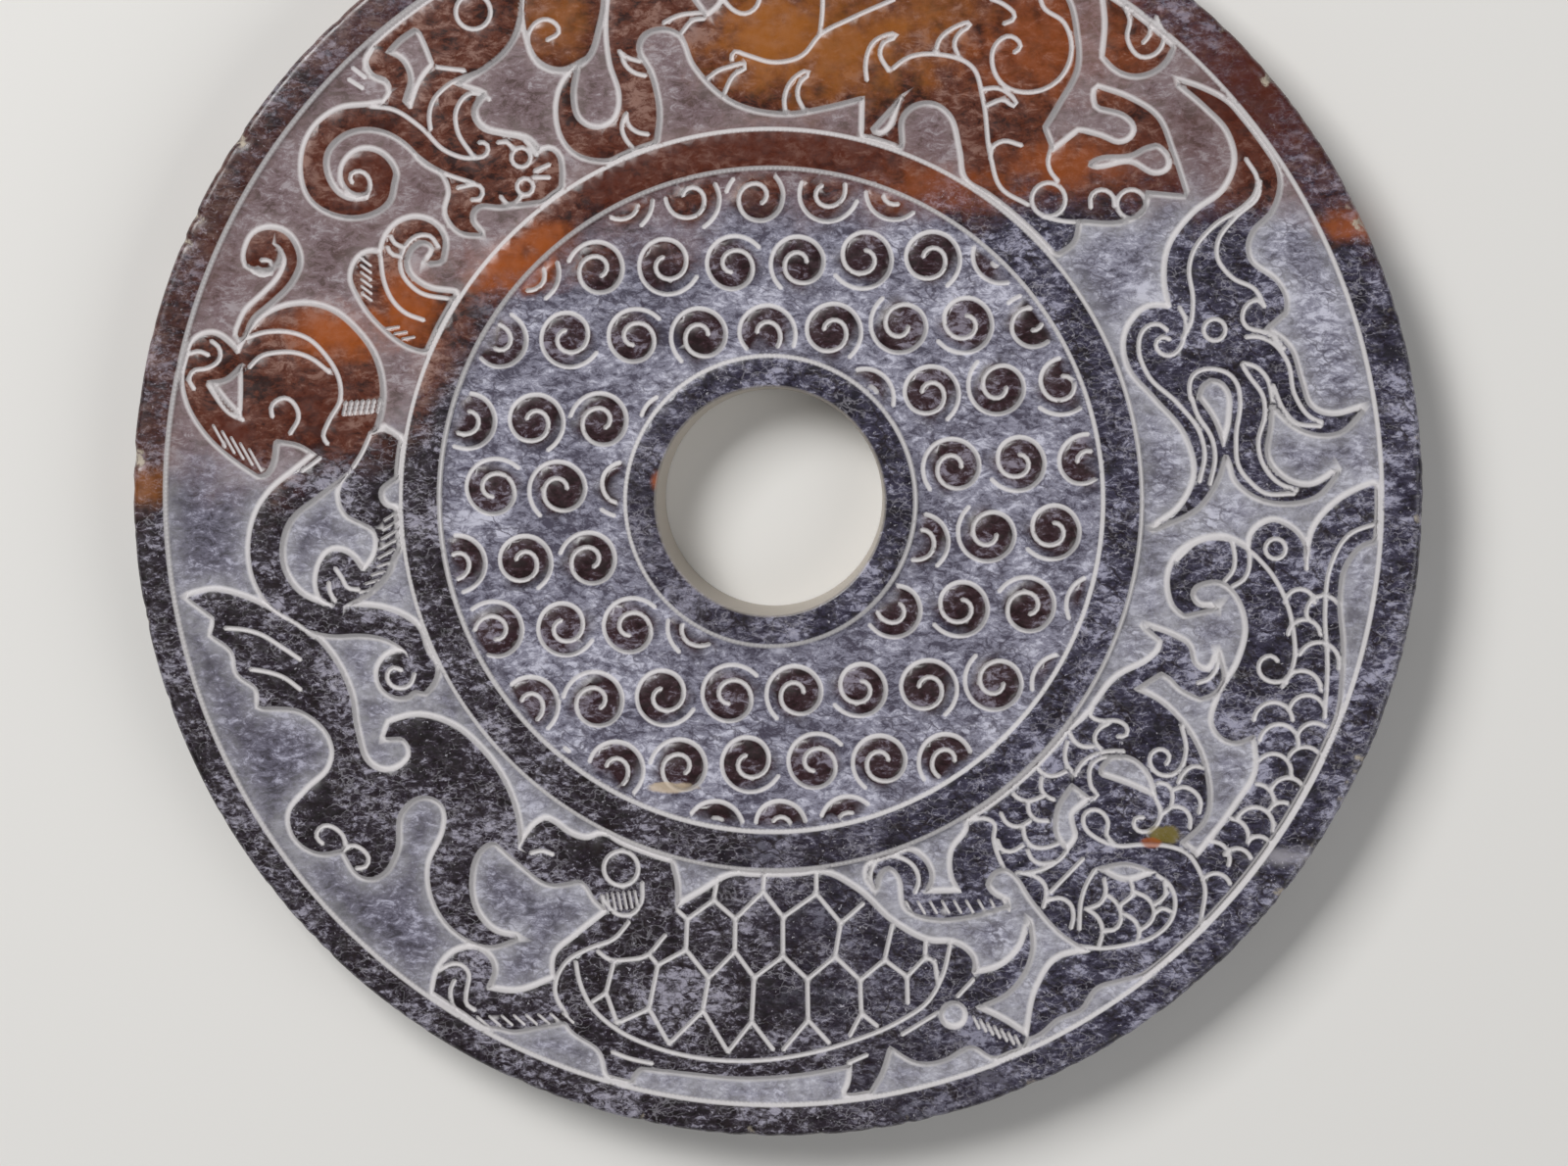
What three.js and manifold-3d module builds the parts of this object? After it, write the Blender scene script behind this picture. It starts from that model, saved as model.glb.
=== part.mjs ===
// A carved jade bi disc, lying flat with its carved face up. Millimetres, +Z up.
// The origin is at the middle of the underside, within the outer edge. X runs right and Y up
// on the carved face. The shapes are worked out about the centre of the hole and rings, and
// the finished disc is then moved by the little that the edge stands off that centre.
import * as THREE from 'three';
import { mergeVertices } from 'three/addons/utils/BufferGeometryUtils.js';
import Module from 'manifold-3d';

const wasm = await Module();
wasm.setup();

// the disc
const discRadius = 100;
const thickness = 12;
const edgeRounding = 1.2;
const edgeShiftX = 0.6; // the outer edge stands a little off the centre of the rings
const edgeShiftY = 0.7;

// the hole, drilled from the carved face and a little narrower below
const holeRadius = 17.6;
const holeTaper = 0.6;

// the raised rings, measured from the centre
const holeRingOuter = 22.7;
const middleRingInner = 51.2;
const middleRingOuter = 57.6;
const rimInner = 94;

// relief of the two faces
const groundDepth = 1.1;
const backGroundDepth = 0.8;
const lineWidth = 0.8; // groove that parts the figures from the rings
const pocketSideGap = 0.6; // what a figure's root reaches below the ground

// the grains of the inner field
const grainRadius = 4.3;
const grainRise = 0.8;
const grainSides = 8;
const grainTopShare = 0.86; // a grain's flat top against its foot
const grainPitch = 10.3;

// how finely the curves are cut
const edgeSegments = 92;
const ringSegments = 72;
const turnPerStep = 0.7; // radians of bend that one straight facet of an outline may take
const strokeEndSteps = 3;
const spotSides = 10;

// the drawing was laid out on a disc with these rings, and follows the rings wherever they go
const drawnRingOuter = 57.6;
const drawnRimInner = 94;

const jade = new THREE.MeshStandardMaterial({ color: 0x4b3a44, roughness: 0.35, metalness: 0 });

// Outlines: every point is [x, y], and a third value of 1 makes it a sharp corner.

const tigerFront = {
  raised: [
    // neck, head, jaw wisp, ear, shoulder and forepaw, with the great coil of the body
    [[-61.7, 61.1], [-67, 60.3], [-70.8, 57.2], [-72.4, 52], [-71, 46.8], [-67, 44.4], [-62.5, 44.4],
      [-59.2, 46.4], [-58.2, 50], [-57.2, 52.4], [-55, 53.8, 1], [-53.2, 52.3], [-50.4, 50.6], [-49.4, 48],
      [-50, 44.6], [-48, 41.8], [-44.7, 41.3, 1], [-46.3, 43.6], [-45.4, 45.6], [-41.8, 45.7],
      [-37, 46.3], [-32.6, 47, 1], [-32.4, 51], [-33, 53.6], [-34.4, 54.3], [-35.7, 53.6, 1],
      [-37.4, 55.7], [-41, 56.6], [-44.4, 57.6], [-45.9, 60.2], [-44.4, 62.9, 1], [-46.4, 63.5],
      [-48.8, 64.4, 1], [-44.6, 66.8], [-40.8, 70], [-38.7, 74], [-38, 79], [-37.4, 88, 1], [-52, 82],
      [-63, 72.6, 1], [-61.3, 69.9, 1], [-62.3, 67.9], [-61.3, 65.8], [-59.3, 65], [-58.6, 63.2],
      [-59.6, 61.5, 1]],
    // forepaw below the coil
    [[-63.6, 37.6], [-62, 38.4], [-60.2, 38.2, 1], [-59.6, 40.4], [-58, 42.6], [-55.2, 43.7], [-52.4, 43],
      [-50.6, 40.8], [-50.9, 37.2, 1], [-53.4, 36.9, 1], [-52, 39], [-54, 40.3], [-56.3, 38.4],
      [-56.3, 35.6], [-53.6, 33.1], [-47.6, 31.9, 1], [-46.4, 31, 1], [-50.6, 22.6, 1], [-55.4, 23.8],
      [-60, 27], [-63.6, 31.6], [-64.8, 35]],
  ],
  sunk: [
    // the comma inside the coil
    [[-54.4, 53.6, 1], [-56.5, 55.6], [-59.4, 57.2], [-63, 57.7], [-66.4, 56.6], [-68.8, 53.8],
      [-68.6, 50], [-66.4, 47.1], [-63.4, 46.5], [-61.8, 47.8, 1], [-64.3, 47.7], [-66, 49.4],
      [-65.9, 52], [-63.6, 54.1], [-60.8, 53.9], [-58.8, 52.2], [-58, 49.6], [-57, 48.4, 1]],
    // between shoulder and forepaw
    [[-59.3, 69.3, 1], [-57.2, 71.5], [-54.8, 73.1], [-53.5, 71.6], [-51.8, 67.4, 1], [-53.6, 65.2],
      [-55.5, 60.4, 1], [-56.7, 61.8], [-55.8, 64.6], [-57, 68.1]],
  ],
};

const tigerHind = {
  raised: [
    // haunch with the near hind leg and its paw
    [[-82.6, 22.6, 1], [-81.2, 25.4], [-78, 28.8], [-73.5, 30.3], [-68.6, 29.6], [-64.4, 26.4], [-61.4, 22],
      [-60.4, 17], [-61.6, 11, 1], [-64, 6, 1], [-69.9, 6.8, 1], [-73, 8.7], [-77, 9.5, 1], [-78, 5],
      [-79.6, 3.9], [-83, 6.2], [-88, 10.9], [-90.6, 15.6], [-91.2, 20], [-89.6, 24.6], [-86.6, 25.8],
      [-84.2, 24.4]],
    // far hind leg and foot
    [[-62.4, 10, 1], [-60, 11.2], [-56.4, 8.8, 1], [-54, 0], [-55, -5, 1], [-58, -7.6], [-59.6, -11],
      [-62.6, -14.2], [-67, -16.8, 1], [-70, -15], [-70.5, -11.4], [-68.6, -8], [-65.6, -8.4],
      [-63.4, -11.1, 1], [-61.5, -8.6], [-61.5, -4.7], [-66, -2], [-66.9, 1.6], [-65, 5, 1]],
  ],
  bands: [
    // tendril that rises from the haunch
    { line: [[-82.3, 25.6], [-81, 28.7], [-77.5, 31.9], [-75, 34.7], [-74.1, 37.8], [-76.4, 40.9],
      [-79.4, 40.3], [-80.2, 37.4]], from: 0.5, to: 1.3 },
    // tail
    { line: [[-66.4, 7], [-72.4, 2.5], [-76.8, -1.4], [-78.6, -6.6], [-78, -11.8], [-74.6, -16.4],
      [-69, -18.6], [-61.5, -18.8], [-56.6, -20.9], [-53.8, -24.4], [-54.6, -28]], from: 2.6, to: 2 },
  ],
  discs: [{ x: -78.4, y: 38.2, r: 2.2 }, { x: -57.7, y: -27.1, r: 3.5 }],
  sunk: [
    [[-87.4, 18.6, 1], [-85, 18.9], [-82, 21.4, 1], [-82, 17], [-82.2, 12.6, 1], [-84.8, 15.2]],
    [[-56, 5.2, 1], [-59.2, 3.1], [-60.7, 1.6], [-60.2, -0.5], [-58.4, -1.2], [-56, 0, 1]],
  ],
};

const bird = {
  raised: [
    // wing, back, neck, head and curled tail feathers
    [[-91.1, -15, 1], [-87, -14.1], [-82, -15.2], [-76.8, -17.7], [-71.9, -20.5], [-67.8, -25.2],
      [-65.6, -30], [-64.6, -36], [-62.6, -41.2], [-59.3, -42.2], [-56.2, -39.8], [-57.4, -36.9],
      [-60.3, -37, 1], [-59.4, -34.6], [-55.6, -33.6], [-50, -34.9], [-44.8, -39.2], [-41.2, -44.6],
      [-39.5, -50], [-39.3, -54.4, 1], [-37.6, -51.6], [-35, -49.6], [-32, -51.6], [-28.4, -52.7],
      [-25.8, -51.8, 1], [-24, -50, 1], [-14, -53.6, 1], [-15.6, -56.2], [-14.8, -59.6], [-14.8, -63.4, 1],
      [-19, -66, 1], [-25.4, -64, 1], [-27.6, -61.8], [-29.6, -59.1], [-35, -59.6], [-38.4, -57.2],
      [-41.1, -54.9, 1], [-43, -53.2], [-45.4, -54.4], [-46.9, -59.2], [-46.1, -64], [-43.2, -67.3],
      [-39.6, -68.2, 1], [-43.9, -69.5], [-48.8, -67.6], [-52.4, -63], [-53.3, -57.4], [-50.8, -51],
      [-51.2, -47.4], [-54.6, -46.1], [-57.8, -48.6], [-58.6, -54.6], [-60.6, -58.1], [-63.6, -58.8],
      [-67, -54.5, 1], [-70.6, -55], [-74.2, -52.8], [-75.1, -49], [-72.6, -45.6], [-68.6, -41.4],
      [-68.6, -37.2], [-73, -32.9], [-79.9, -32.2, 1], [-80, -29.6], [-83.2, -26.8, 1], [-83.8, -23.8],
      [-87.3, -20.9, 1], [-86.8, -18.2]],
  ],
};

const tortoise = {
  raised: [
    // shell with head, skirt, tail and the far hind foot
    [[-14.8, -63.4, 1], [-10.6, -60.9], [-6, -58.3], [0, -57.2], [7.8, -57.8], [13.2, -60.4], [19, -65.6],
      [24.5, -68.5], [29, -69], [31.4, -71.2], [31.3, -73.6, 1], [35.6, -72.4], [39, -69], [40.1, -65.4, 1],
      [40.4, -69.6], [37, -76], [31.7, -78.7, 1], [36, -80.7], [39.8, -83.2, 1], [38.4, -88, 1],
      [36.3, -87, 1], [31, -84.7], [27.4, -86.6], [23, -87.3], [18.4, -84.8, 1], [17, -89.2],
      [14.4, -93.6, 1], [10.7, -94.4, 1], [12.3, -90.6], [12.6, -87.8, 1], [5, -89.2], [-4, -89.9],
      [-13, -89.2], [-20.5, -88.4], [-22.5, -92, 1], [-25, -92, 1], [-26.4, -86.4], [-31.7, -81.9, 1],
      [-33.9, -77], [-33.6, -71], [-30.4, -68], [-25.4, -64, 1], [-20, -61, 1]],
    // near forepaw
    [[-53, -77.6], [-52, -73.6], [-49.2, -70.5], [-45.6, -70.2], [-43.4, -72.8], [-44.5, -76.3, 1],
      [-40, -76.8], [-33.6, -74.6], [-30, -76, 1], [-30, -81, 1], [-36.6, -82.1], [-41, -82.7],
      [-44, -82.2], [-46, -86, 1], [-54, -81, 1]],
    // far forepaw, reaching under the middle ring
    [[16.2, -60.3, 1], [15, -58], [16.2, -55.5], [20, -53.8], [23.8, -55.8], [24.8, -58.4], [23.8, -60.9, 1],
      [29.7, -60.7, 1], [33, -59.6, 1], [37, -62.5, 1], [32.6, -63.9], [25, -64.7], [21, -63], [20.4, -59.2],
      [18.6, -56.7], [16.8, -57.8]],
  ],
  discsSunk: [{ x: 28.4, y: -79.9, r: 2.2 }],
};

const serpent = {
  raised: [
    // the scaled coil between the middle ring and the rim
    [[30.7, -50.2, 1], [28.3, -54.4], [28.4, -58.3], [29.7, -60.7, 1], [34.6, -62.2, 1], [33.4, -59.4],
      [35.4, -57], [37.6, -57.6], [40.6, -61.8], [45, -66.8], [49.5, -69.9, 1], [44.4, -71.2], [41.6, -75.4],
      [39.9, -83.3, 1], [40.8, -83.1, 1], [44.6, -80.2], [48.4, -78.4], [50, -75.8], [54.6, -74],
      [61, -72, 1], [66, -74, 1], [84, -50], [90, -36, 1], [87.2, -34.1, 1], [87.9, -28], [88.1, -22],
      [87.6, -15], [88.6, -9.4], [91.6, -6.2], [96, -5, 1], [97, 4, 1], [92, 2.4], [87, -0.4], [84, -4],
      [82.9, -9.6, 1], [81.6, -5.4], [77.4, -3], [74.4, -5], [74, -7.3, 1], [69.6, -5.6], [65, -6.7],
      [62.2, -9.6], [61.8, -14.2], [64, -17.4], [68.9, -16.3, 1], [65.8, -15.9], [65.2, -13.4],
      [69.5, -12.2], [72.6, -15.2], [73.7, -19.4], [72.5, -24.6], [69.4, -30.2], [68.6, -34.6],
      [71.2, -37], [75, -36, 1], [75.3, -41.6], [72.2, -47], [66.2, -55, 1], [63.4, -52.8, 1], [67.2, -48.8],
      [67.4, -42.4], [64.4, -35.3], [59.6, -30.6], [56.2, -29, 1], [60.4, -26.3], [63.2, -28.6],
      [66.4, -30.3], [69.6, -28], [69.2, -23.4, 1], [67.8, -26.2], [65.4, -25], [64.6, -22.3, 1],
      [62.2, -20.8], [57.8, -19.2, 1], [60.6, -21.4], [59, -24.2], [53.6, -27.3], [48.8, -33.4],
      [44, -37.8, 1], [42, -36, 1], [30, -47, 1]],
  ],
  sunk: [
    [[46.6, -43.6, 1], [44.2, -47.6], [44.2, -52], [46, -54.4, 1], [47.6, -51.6], [46.9, -48.4],
      [49.8, -46, 1]],
    [[51, -42.4], [52.4, -39.6], [55.6, -39.4], [59, -42.6], [59.9, -46, 1], [55.6, -44]],
    [[50.3, -56.8, 1], [55, -55.9], [59.9, -57.4, 1], [55, -58.9]],
  ],
};

const dragonHead = {
  raised: [
    // mane, crest, three whisker strands and muzzle
    [[62.5, 64.6, 1], [66.5, 63.2], [71.6, 60.3], [76, 55.8], [78, 50], [77, 45], [73.8, 41.4], [73.5, 37.6],
      [78.2, 33.3], [79.2, 29.4], [76, 26.6, 1], [79.6, 24], [81.6, 18.6], [83.2, 14.6], [86.4, 13.3],
      [91.2, 14.4, 1], [87.4, 10.8], [82, 11.2], [77.1, 15.2, 1], [76.8, 11.4], [76.4, 7],
      [79, 3.6], [83, 2.4], [87.4, 4.7, 1], [84, 1], [79.6, 0], [75, 0.9], [71.6, 4], [70.4, 7.4],
      [69.4, 5.2], [66.2, -0.4], [59.2, -4.1, 1], [63.4, -0.8], [65.7, 4.4], [64.2, 10.4], [59.2, 16.4], [55.4, 21],
      [55, 26], [58, 29.7], [61.8, 29.8, 1], [61, 34], [61.5, 38.9], [65.2, 44.2], [70, 48], [71.7, 52.4],
      [70.6, 56.8], [67, 60.8]],
  ],
  sunk: [
    [[67.8, 19], [70.6, 17.4], [71, 13], [69.9, 8.2, 1], [68.2, 12.8], [65.8, 16.2]],
  ],
};

const dragonBody = {
  raised: [
    // crested back, hind leg arch, foreleg and small paw
    [[-24.4, 79], [-24.9, 72.4], [-24.4, 67.8], [-22.9, 62.4], [-23.8, 58.8], [-26.6, 57.4], [-29.6, 58.8],
      [-30.6, 62.6], [-30, 66.9, 1], [-32, 64], [-32.6, 58.6], [-30.6, 54.4], [-26, 52.8], [-20, 53, 1],
      [-10, 53.6], [6, 54], [24, 48.6], [36, 40.8], [42, 36.6, 1], [46.6, 40.1], [47.4, 43.4, 1],
      [54.4, 43.4], [57.3, 45.2], [57.8, 47.8, 1], [63.9, 47.2, 1], [61.6, 54], [59.4, 59], [55, 61.9],
      [50.2, 63.6, 1], [50.4, 60.8], [55, 59.3], [56.3, 57], [54, 55], [47.6, 56.9], [43.5, 53.7, 1],
      [42, 57.6], [44.4, 61.6], [47, 66.6], [46.9, 71.8], [45, 78], [40, 81, 1], [36.6, 82.2],
      [33, 79.4, 1], [27, 84], [20, 86.2], [16.5, 83.6, 1], [10.6, 88.4], [4.6, 88.8], [1, 85.6, 1],
      [-4, 89], [-10, 89.4], [-15.5, 85.4, 1], [-20, 86.8], [-23.6, 83.4]],
    // round haunch under the rim, at the right
    [[50.8, 84, 1], [51.8, 73.8], [51.4, 68.4], [56.1, 65.6], [60.6, 67.7], [64, 74, 1], [58, 80, 1]],
    // curled crest between the tiger and the dragon
    [[-38.2, 80, 1], [-37.4, 72], [-35.6, 67.8], [-31.8, 66.6], [-28.4, 68.4, 1], [-26.6, 73], [-26, 79],
      [-28.8, 83.4], [-34, 84]],
  ],
  sunk: [
    // bare ground between the back leg and the middle ring
    [[-18, 53, 1], [-17.3, 59.6], [-18.4, 65.6], [-20.4, 70.4], [-18.4, 72.7], [-14.2, 72.4], [-11.4, 67.2],
      [-6.2, 62.1], [2, 60], [9, 61], [14.6, 62.4, 1], [14.4, 54, 1]],
    // under the arch
    [[20, 54, 1], [20.4, 59.6], [24, 61.6], [27.6, 60], [29.6, 54], [31, 47, 1]],
    [[15.6, 57.4], [20.6, 62.8, 1], [17.6, 56.6]],
    // slit behind the small paw
    [[49, 51.6], [51.4, 51.3], [55.2, 52], [59.4, 50.2], [61.7, 51.8], [59.6, 55.1], [55.8, 53.6],
      [50.6, 53]],
    // notch in the crested back
    [[-9.8, 74.4, 1], [-12.6, 79], [-11.6, 84], [-8.2, 84.6], [-6.4, 80], [-7.6, 76.2]],
  ],
};

// Rows of grains: height of the row's two ends, its first grain and how many follow at the pitch.
const grainRows = [
  { left: 45.6, right: 46.4, first: -22.4, count: 5 },
  { left: 36.9, right: 36.4, first: -36.8, count: 8 },
  { left: 25.6, right: 26.6, first: -41.8, count: 9 },
  { left: 13, right: 13, first: -46, count: 4 },
  { left: 15.6, right: 17, first: 15.4, count: 4 },
  { left: 2, right: 2, first: -43.2, count: 3 },
  { left: 6, right: 6.6, first: 28.6, count: 3 },
  { left: -9, right: -8.8, first: -48, count: 3 },
  { left: -5.4, right: -5, first: 23.8, count: 3 },
  { left: -19.6, right: -19, first: -42.6, count: 4 },
  { left: -16.2, right: -16.6, first: 19.4, count: 4 },
  { left: -30.6, right: -28.4, first: -37.4, count: 9 },
  { left: -40.6, right: -39.2, first: -34.7, count: 8 },
  { left: -49.4, right: -48.6, first: -9, count: 3 },
];

const topZ = thickness;
const groundZ = thickness - groundDepth;
const rootZ = groundZ - pocketSideGap;

// A drawn point, carried to where the rings now are.
function toFrieze([x, y]) {
  const radius = Math.hypot(x, y);
  const share = (radius - drawnRingOuter) / (drawnRimInner - drawnRingOuter);
  const carried = middleRingOuter + share * (rimInner - middleRingOuter);
  return [(x / radius) * carried, (y / radius) * carried];
}

const angleBetween = (a, b) => Math.abs(Math.atan2(a[0] * b[1] - a[1] * b[0], a[0] * b[0] + a[1] * b[1]));

// A closed outline through the points, bending smoothly except at the corners.
function outlineThrough(points) {
  const count = points.length;
  const pointAt = (i) => points[(i + count) % count];
  const heading = (i, chord) => {
    if (pointAt(i)[2]) return chord;
    const across = [pointAt(i + 1)[0] - pointAt(i - 1)[0], pointAt(i + 1)[1] - pointAt(i - 1)[1]];
    const stretch = Math.hypot(...chord) / Math.hypot(...across);
    return [across[0] * stretch, across[1] * stretch];
  };
  const outline = [];
  for (let i = 0; i < count; i++) {
    const start = pointAt(i);
    const end = pointAt(i + 1);
    const chord = [end[0] - start[0], end[1] - start[1]];
    const leave = heading(i, chord);
    const arrive = heading(i + 1, chord);
    const bend = angleBetween(leave, chord) + angleBetween(chord, arrive);
    const steps = Math.max(1, Math.ceil(bend / turnPerStep));
    for (let step = 0; step < steps; step++) {
      const t = step / steps;
      const h1 = 2 * t ** 3 - 3 * t ** 2 + 1;
      const h2 = t ** 3 - 2 * t ** 2 + t;
      const h3 = t ** 3 - t ** 2;
      outline.push([0, 1].map((k) => h1 * start[k] + h2 * leave[k] + (1 - h1) * end[k] + h3 * arrive[k]));
    }
  }
  return outline;
}

// A curved band of changing width, round at both ends.
function bandOutline({ line, from, to }) {
  const curve = new THREE.CatmullRomCurve3(line.map(([x, y]) => new THREE.Vector3(x, y, 0)));
  const steps = Math.ceil(line.length * 1.6);
  const left = [];
  const right = [];
  for (let i = 0; i <= steps; i++) {
    const t = i / steps;
    const point = curve.getPoint(t);
    const along = curve.getTangent(t);
    const half = from + (to - from) * t;
    left.push([point.x - along.y * half, point.y + along.x * half]);
    right.unshift([point.x + along.y * half, point.y - along.x * half]);
  }
  const cap = (t, half, turn) => {
    const middle = curve.getPoint(t);
    const along = curve.getTangent(t);
    const start = Math.atan2(along.y, along.x) + turn;
    const points = [];
    for (let i = 1; i < strokeEndSteps; i++) {
      const angle = start - (Math.PI * i) / strokeEndSteps;
      points.push([middle.x + half * Math.cos(angle), middle.y + half * Math.sin(angle)]);
    }
    return points;
  };
  return [...left, ...cap(1, to, Math.PI / 2), ...right, ...cap(0, from, -Math.PI / 2)];
}

// A round spot of the drawing.
function discOutline({ x, y, r }) {
  return Array.from({ length: spotSides }, (_, i) => {
    const angle = (2 * Math.PI * i) / spotSides;
    return [x + r * Math.cos(angle), y + r * Math.sin(angle)];
  });
}

// Three.js geometry as a solid that can be joined and cut.
function solidOf(geometry) {
  const bare = geometry.clone();
  bare.deleteAttribute('normal');
  bare.deleteAttribute('uv');
  const merged = mergeVertices(bare, 1e-4);
  return new wasm.Manifold(new wasm.Mesh({
    numProp: 3,
    vertProperties: new Float32Array(merged.attributes.position.array),
    triVerts: new Uint32Array(merged.index.array),
  }));
}

// A turned ring or disc from its half profile of [radius, height] points.
function turned(profile, segments) {
  const closed = [...profile, profile[0]].map(([radius, height]) => new THREE.Vector2(radius, height));
  const geometry = new THREE.LatheGeometry(closed, segments);
  geometry.rotateX(Math.PI / 2);
  const solid = solidOf(geometry);
  return solid.volume() > 0 ? solid : solidOf(flipped(geometry));
}

function flipped(geometry) {
  const index = geometry.index.array;
  for (let i = 0; i < index.length; i += 3) {
    [index[i + 1], index[i + 2]] = [index[i + 2], index[i + 1]];
  }
  return geometry;
}

const ring = (inner, outer, low, high, segments) => turned(
  [[inner, low], [outer, low], [outer, high], [inner, high]],
  segments,
);

// An upright wall-sided block over one outline of the frieze.
function friezeBlock(outline, low, high) {
  const shape = new THREE.Shape(outline.map((point) => new THREE.Vector2(...toFrieze(point))));
  const geometry = new THREE.ExtrudeGeometry(shape, { depth: high - low, bevelEnabled: false });
  geometry.translate(0, 0, low);
  return solidOf(geometry);
}

const joined = (solids) => solids.reduce((whole, solid) => whole.add(solid));

// All raised figures of one creature with its sunk pockets cut.
function creature({ raised = [], bands = [], discs = [], sunk = [], discsSunk = [] }) {
  const shapes = [...raised.map(outlineThrough), ...bands.map(bandOutline), ...discs.map(discOutline)];
  const pockets = [...sunk.map(outlineThrough), ...discsSunk.map(discOutline)];
  const body = joined(shapes.map((outline) => friezeBlock(outline, rootZ, topZ)));
  return pockets.reduce((left, outline) => left.subtract(friezeBlock(outline, rootZ - 1, topZ + 1)), body);
}

// The plain disc with its rounded edge, hole and recessed fields on both faces.
function plainDisc() {
  const rounded = edgeRounding * 0.3;
  const puck = turned([
    [0, 0], [discRadius - edgeRounding, 0], [discRadius - rounded, rounded], [discRadius, edgeRounding],
    [discRadius, thickness - edgeRounding], [discRadius - rounded, thickness - rounded],
    [discRadius - edgeRounding, thickness], [0, thickness],
  ], edgeSegments).translate([edgeShiftX, edgeShiftY, 0]);
  const hole = turned([
    [0, -1], [holeRadius - holeTaper, -1], [holeRadius - holeTaper, 0], [holeRadius, thickness],
    [holeRadius, thickness + 1], [0, thickness + 1],
  ], ringSegments);
  const fields = [
    ring(holeRingOuter, middleRingInner, groundZ, topZ + 1, ringSegments),
    ring(middleRingOuter, rimInner, groundZ, topZ + 1, edgeSegments),
    ring(holeRingOuter, middleRingInner, -1, backGroundDepth, ringSegments),
    ring(middleRingOuter, rimInner, -1, backGroundDepth, edgeSegments),
  ];
  return fields.reduce((left, field) => left.subtract(field), puck.subtract(hole));
}

// The grains, trimmed where the rings cut them off.
function grains() {
  const blanks = [];
  for (const { left, right, first, count } of grainRows) {
    for (let i = 0; i < count; i++) {
      const share = count > 1 ? i / (count - 1) : 0;
      const geometry = new THREE.CylinderGeometry(
        grainRadius * grainTopShare,
        grainRadius,
        grainRise + pocketSideGap,
        grainSides,
      );
      geometry.rotateX(Math.PI / 2);
      geometry.translate(
        first + i * grainPitch,
        left + (right - left) * share,
        rootZ + (grainRise + pocketSideGap) / 2,
      );
      blanks.push(solidOf(geometry));
    }
  }
  const field = ring(
    holeRingOuter + lineWidth,
    middleRingInner - lineWidth,
    rootZ - 1,
    topZ,
    ringSegments,
  );
  return joined(blanks).intersect(field);
}

function geometryOf(solid) {
  const mesh = solid.getMesh();
  const geometry = new THREE.BufferGeometry();
  geometry.setAttribute('position', new THREE.BufferAttribute(new Float32Array(mesh.vertProperties), 3));
  geometry.setIndex(new THREE.BufferAttribute(new Uint32Array(mesh.triVerts), 1));
  geometry.computeVertexNormals();
  return geometry;
}

const frieze = ring(
  middleRingOuter + lineWidth,
  rimInner - lineWidth,
  rootZ - 1,
  topZ + 1,
  edgeSegments,
);
const creatures = [tigerFront, tigerHind, bird, tortoise, serpent, dragonHead, dragonBody].map(creature);
const figures = joined(creatures).intersect(frieze);
const disc = plainDisc().add(figures).add(grains());

const biDisc = new THREE.Mesh(geometryOf(disc), jade);
biDisc.name = 'bi_disc';
biDisc.position.set(-edgeShiftX, -edgeShiftY, 0);

const object = new THREE.Group();
object.add(biDisc);

export default object;
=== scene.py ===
import math
import random

import bpy
import numpy as np
from mathutils import Matrix, Vector, kdtree, noise
from mathutils.geometry import delaunay_2d_cdt


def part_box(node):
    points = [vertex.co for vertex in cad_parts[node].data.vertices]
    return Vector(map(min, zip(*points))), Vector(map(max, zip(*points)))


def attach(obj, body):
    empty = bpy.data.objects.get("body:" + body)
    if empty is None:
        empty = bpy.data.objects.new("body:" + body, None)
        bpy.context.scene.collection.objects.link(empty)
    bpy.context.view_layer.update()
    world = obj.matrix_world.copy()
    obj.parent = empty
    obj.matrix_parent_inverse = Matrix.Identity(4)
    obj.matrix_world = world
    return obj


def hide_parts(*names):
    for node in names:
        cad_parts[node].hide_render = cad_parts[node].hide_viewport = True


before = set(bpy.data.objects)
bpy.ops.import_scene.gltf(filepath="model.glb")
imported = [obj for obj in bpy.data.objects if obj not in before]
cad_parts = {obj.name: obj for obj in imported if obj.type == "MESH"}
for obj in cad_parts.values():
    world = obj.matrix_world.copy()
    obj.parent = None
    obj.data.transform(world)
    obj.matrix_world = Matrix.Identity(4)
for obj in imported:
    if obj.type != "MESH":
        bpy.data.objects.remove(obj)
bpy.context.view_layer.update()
print("frame loaded")

# Lengths below are in millimetres about the centre of the rings. Seen from above, x runs right and y up.
mm = 0.001
discNode = "bi_disc"
nodeLow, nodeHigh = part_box(discNode)

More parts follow.
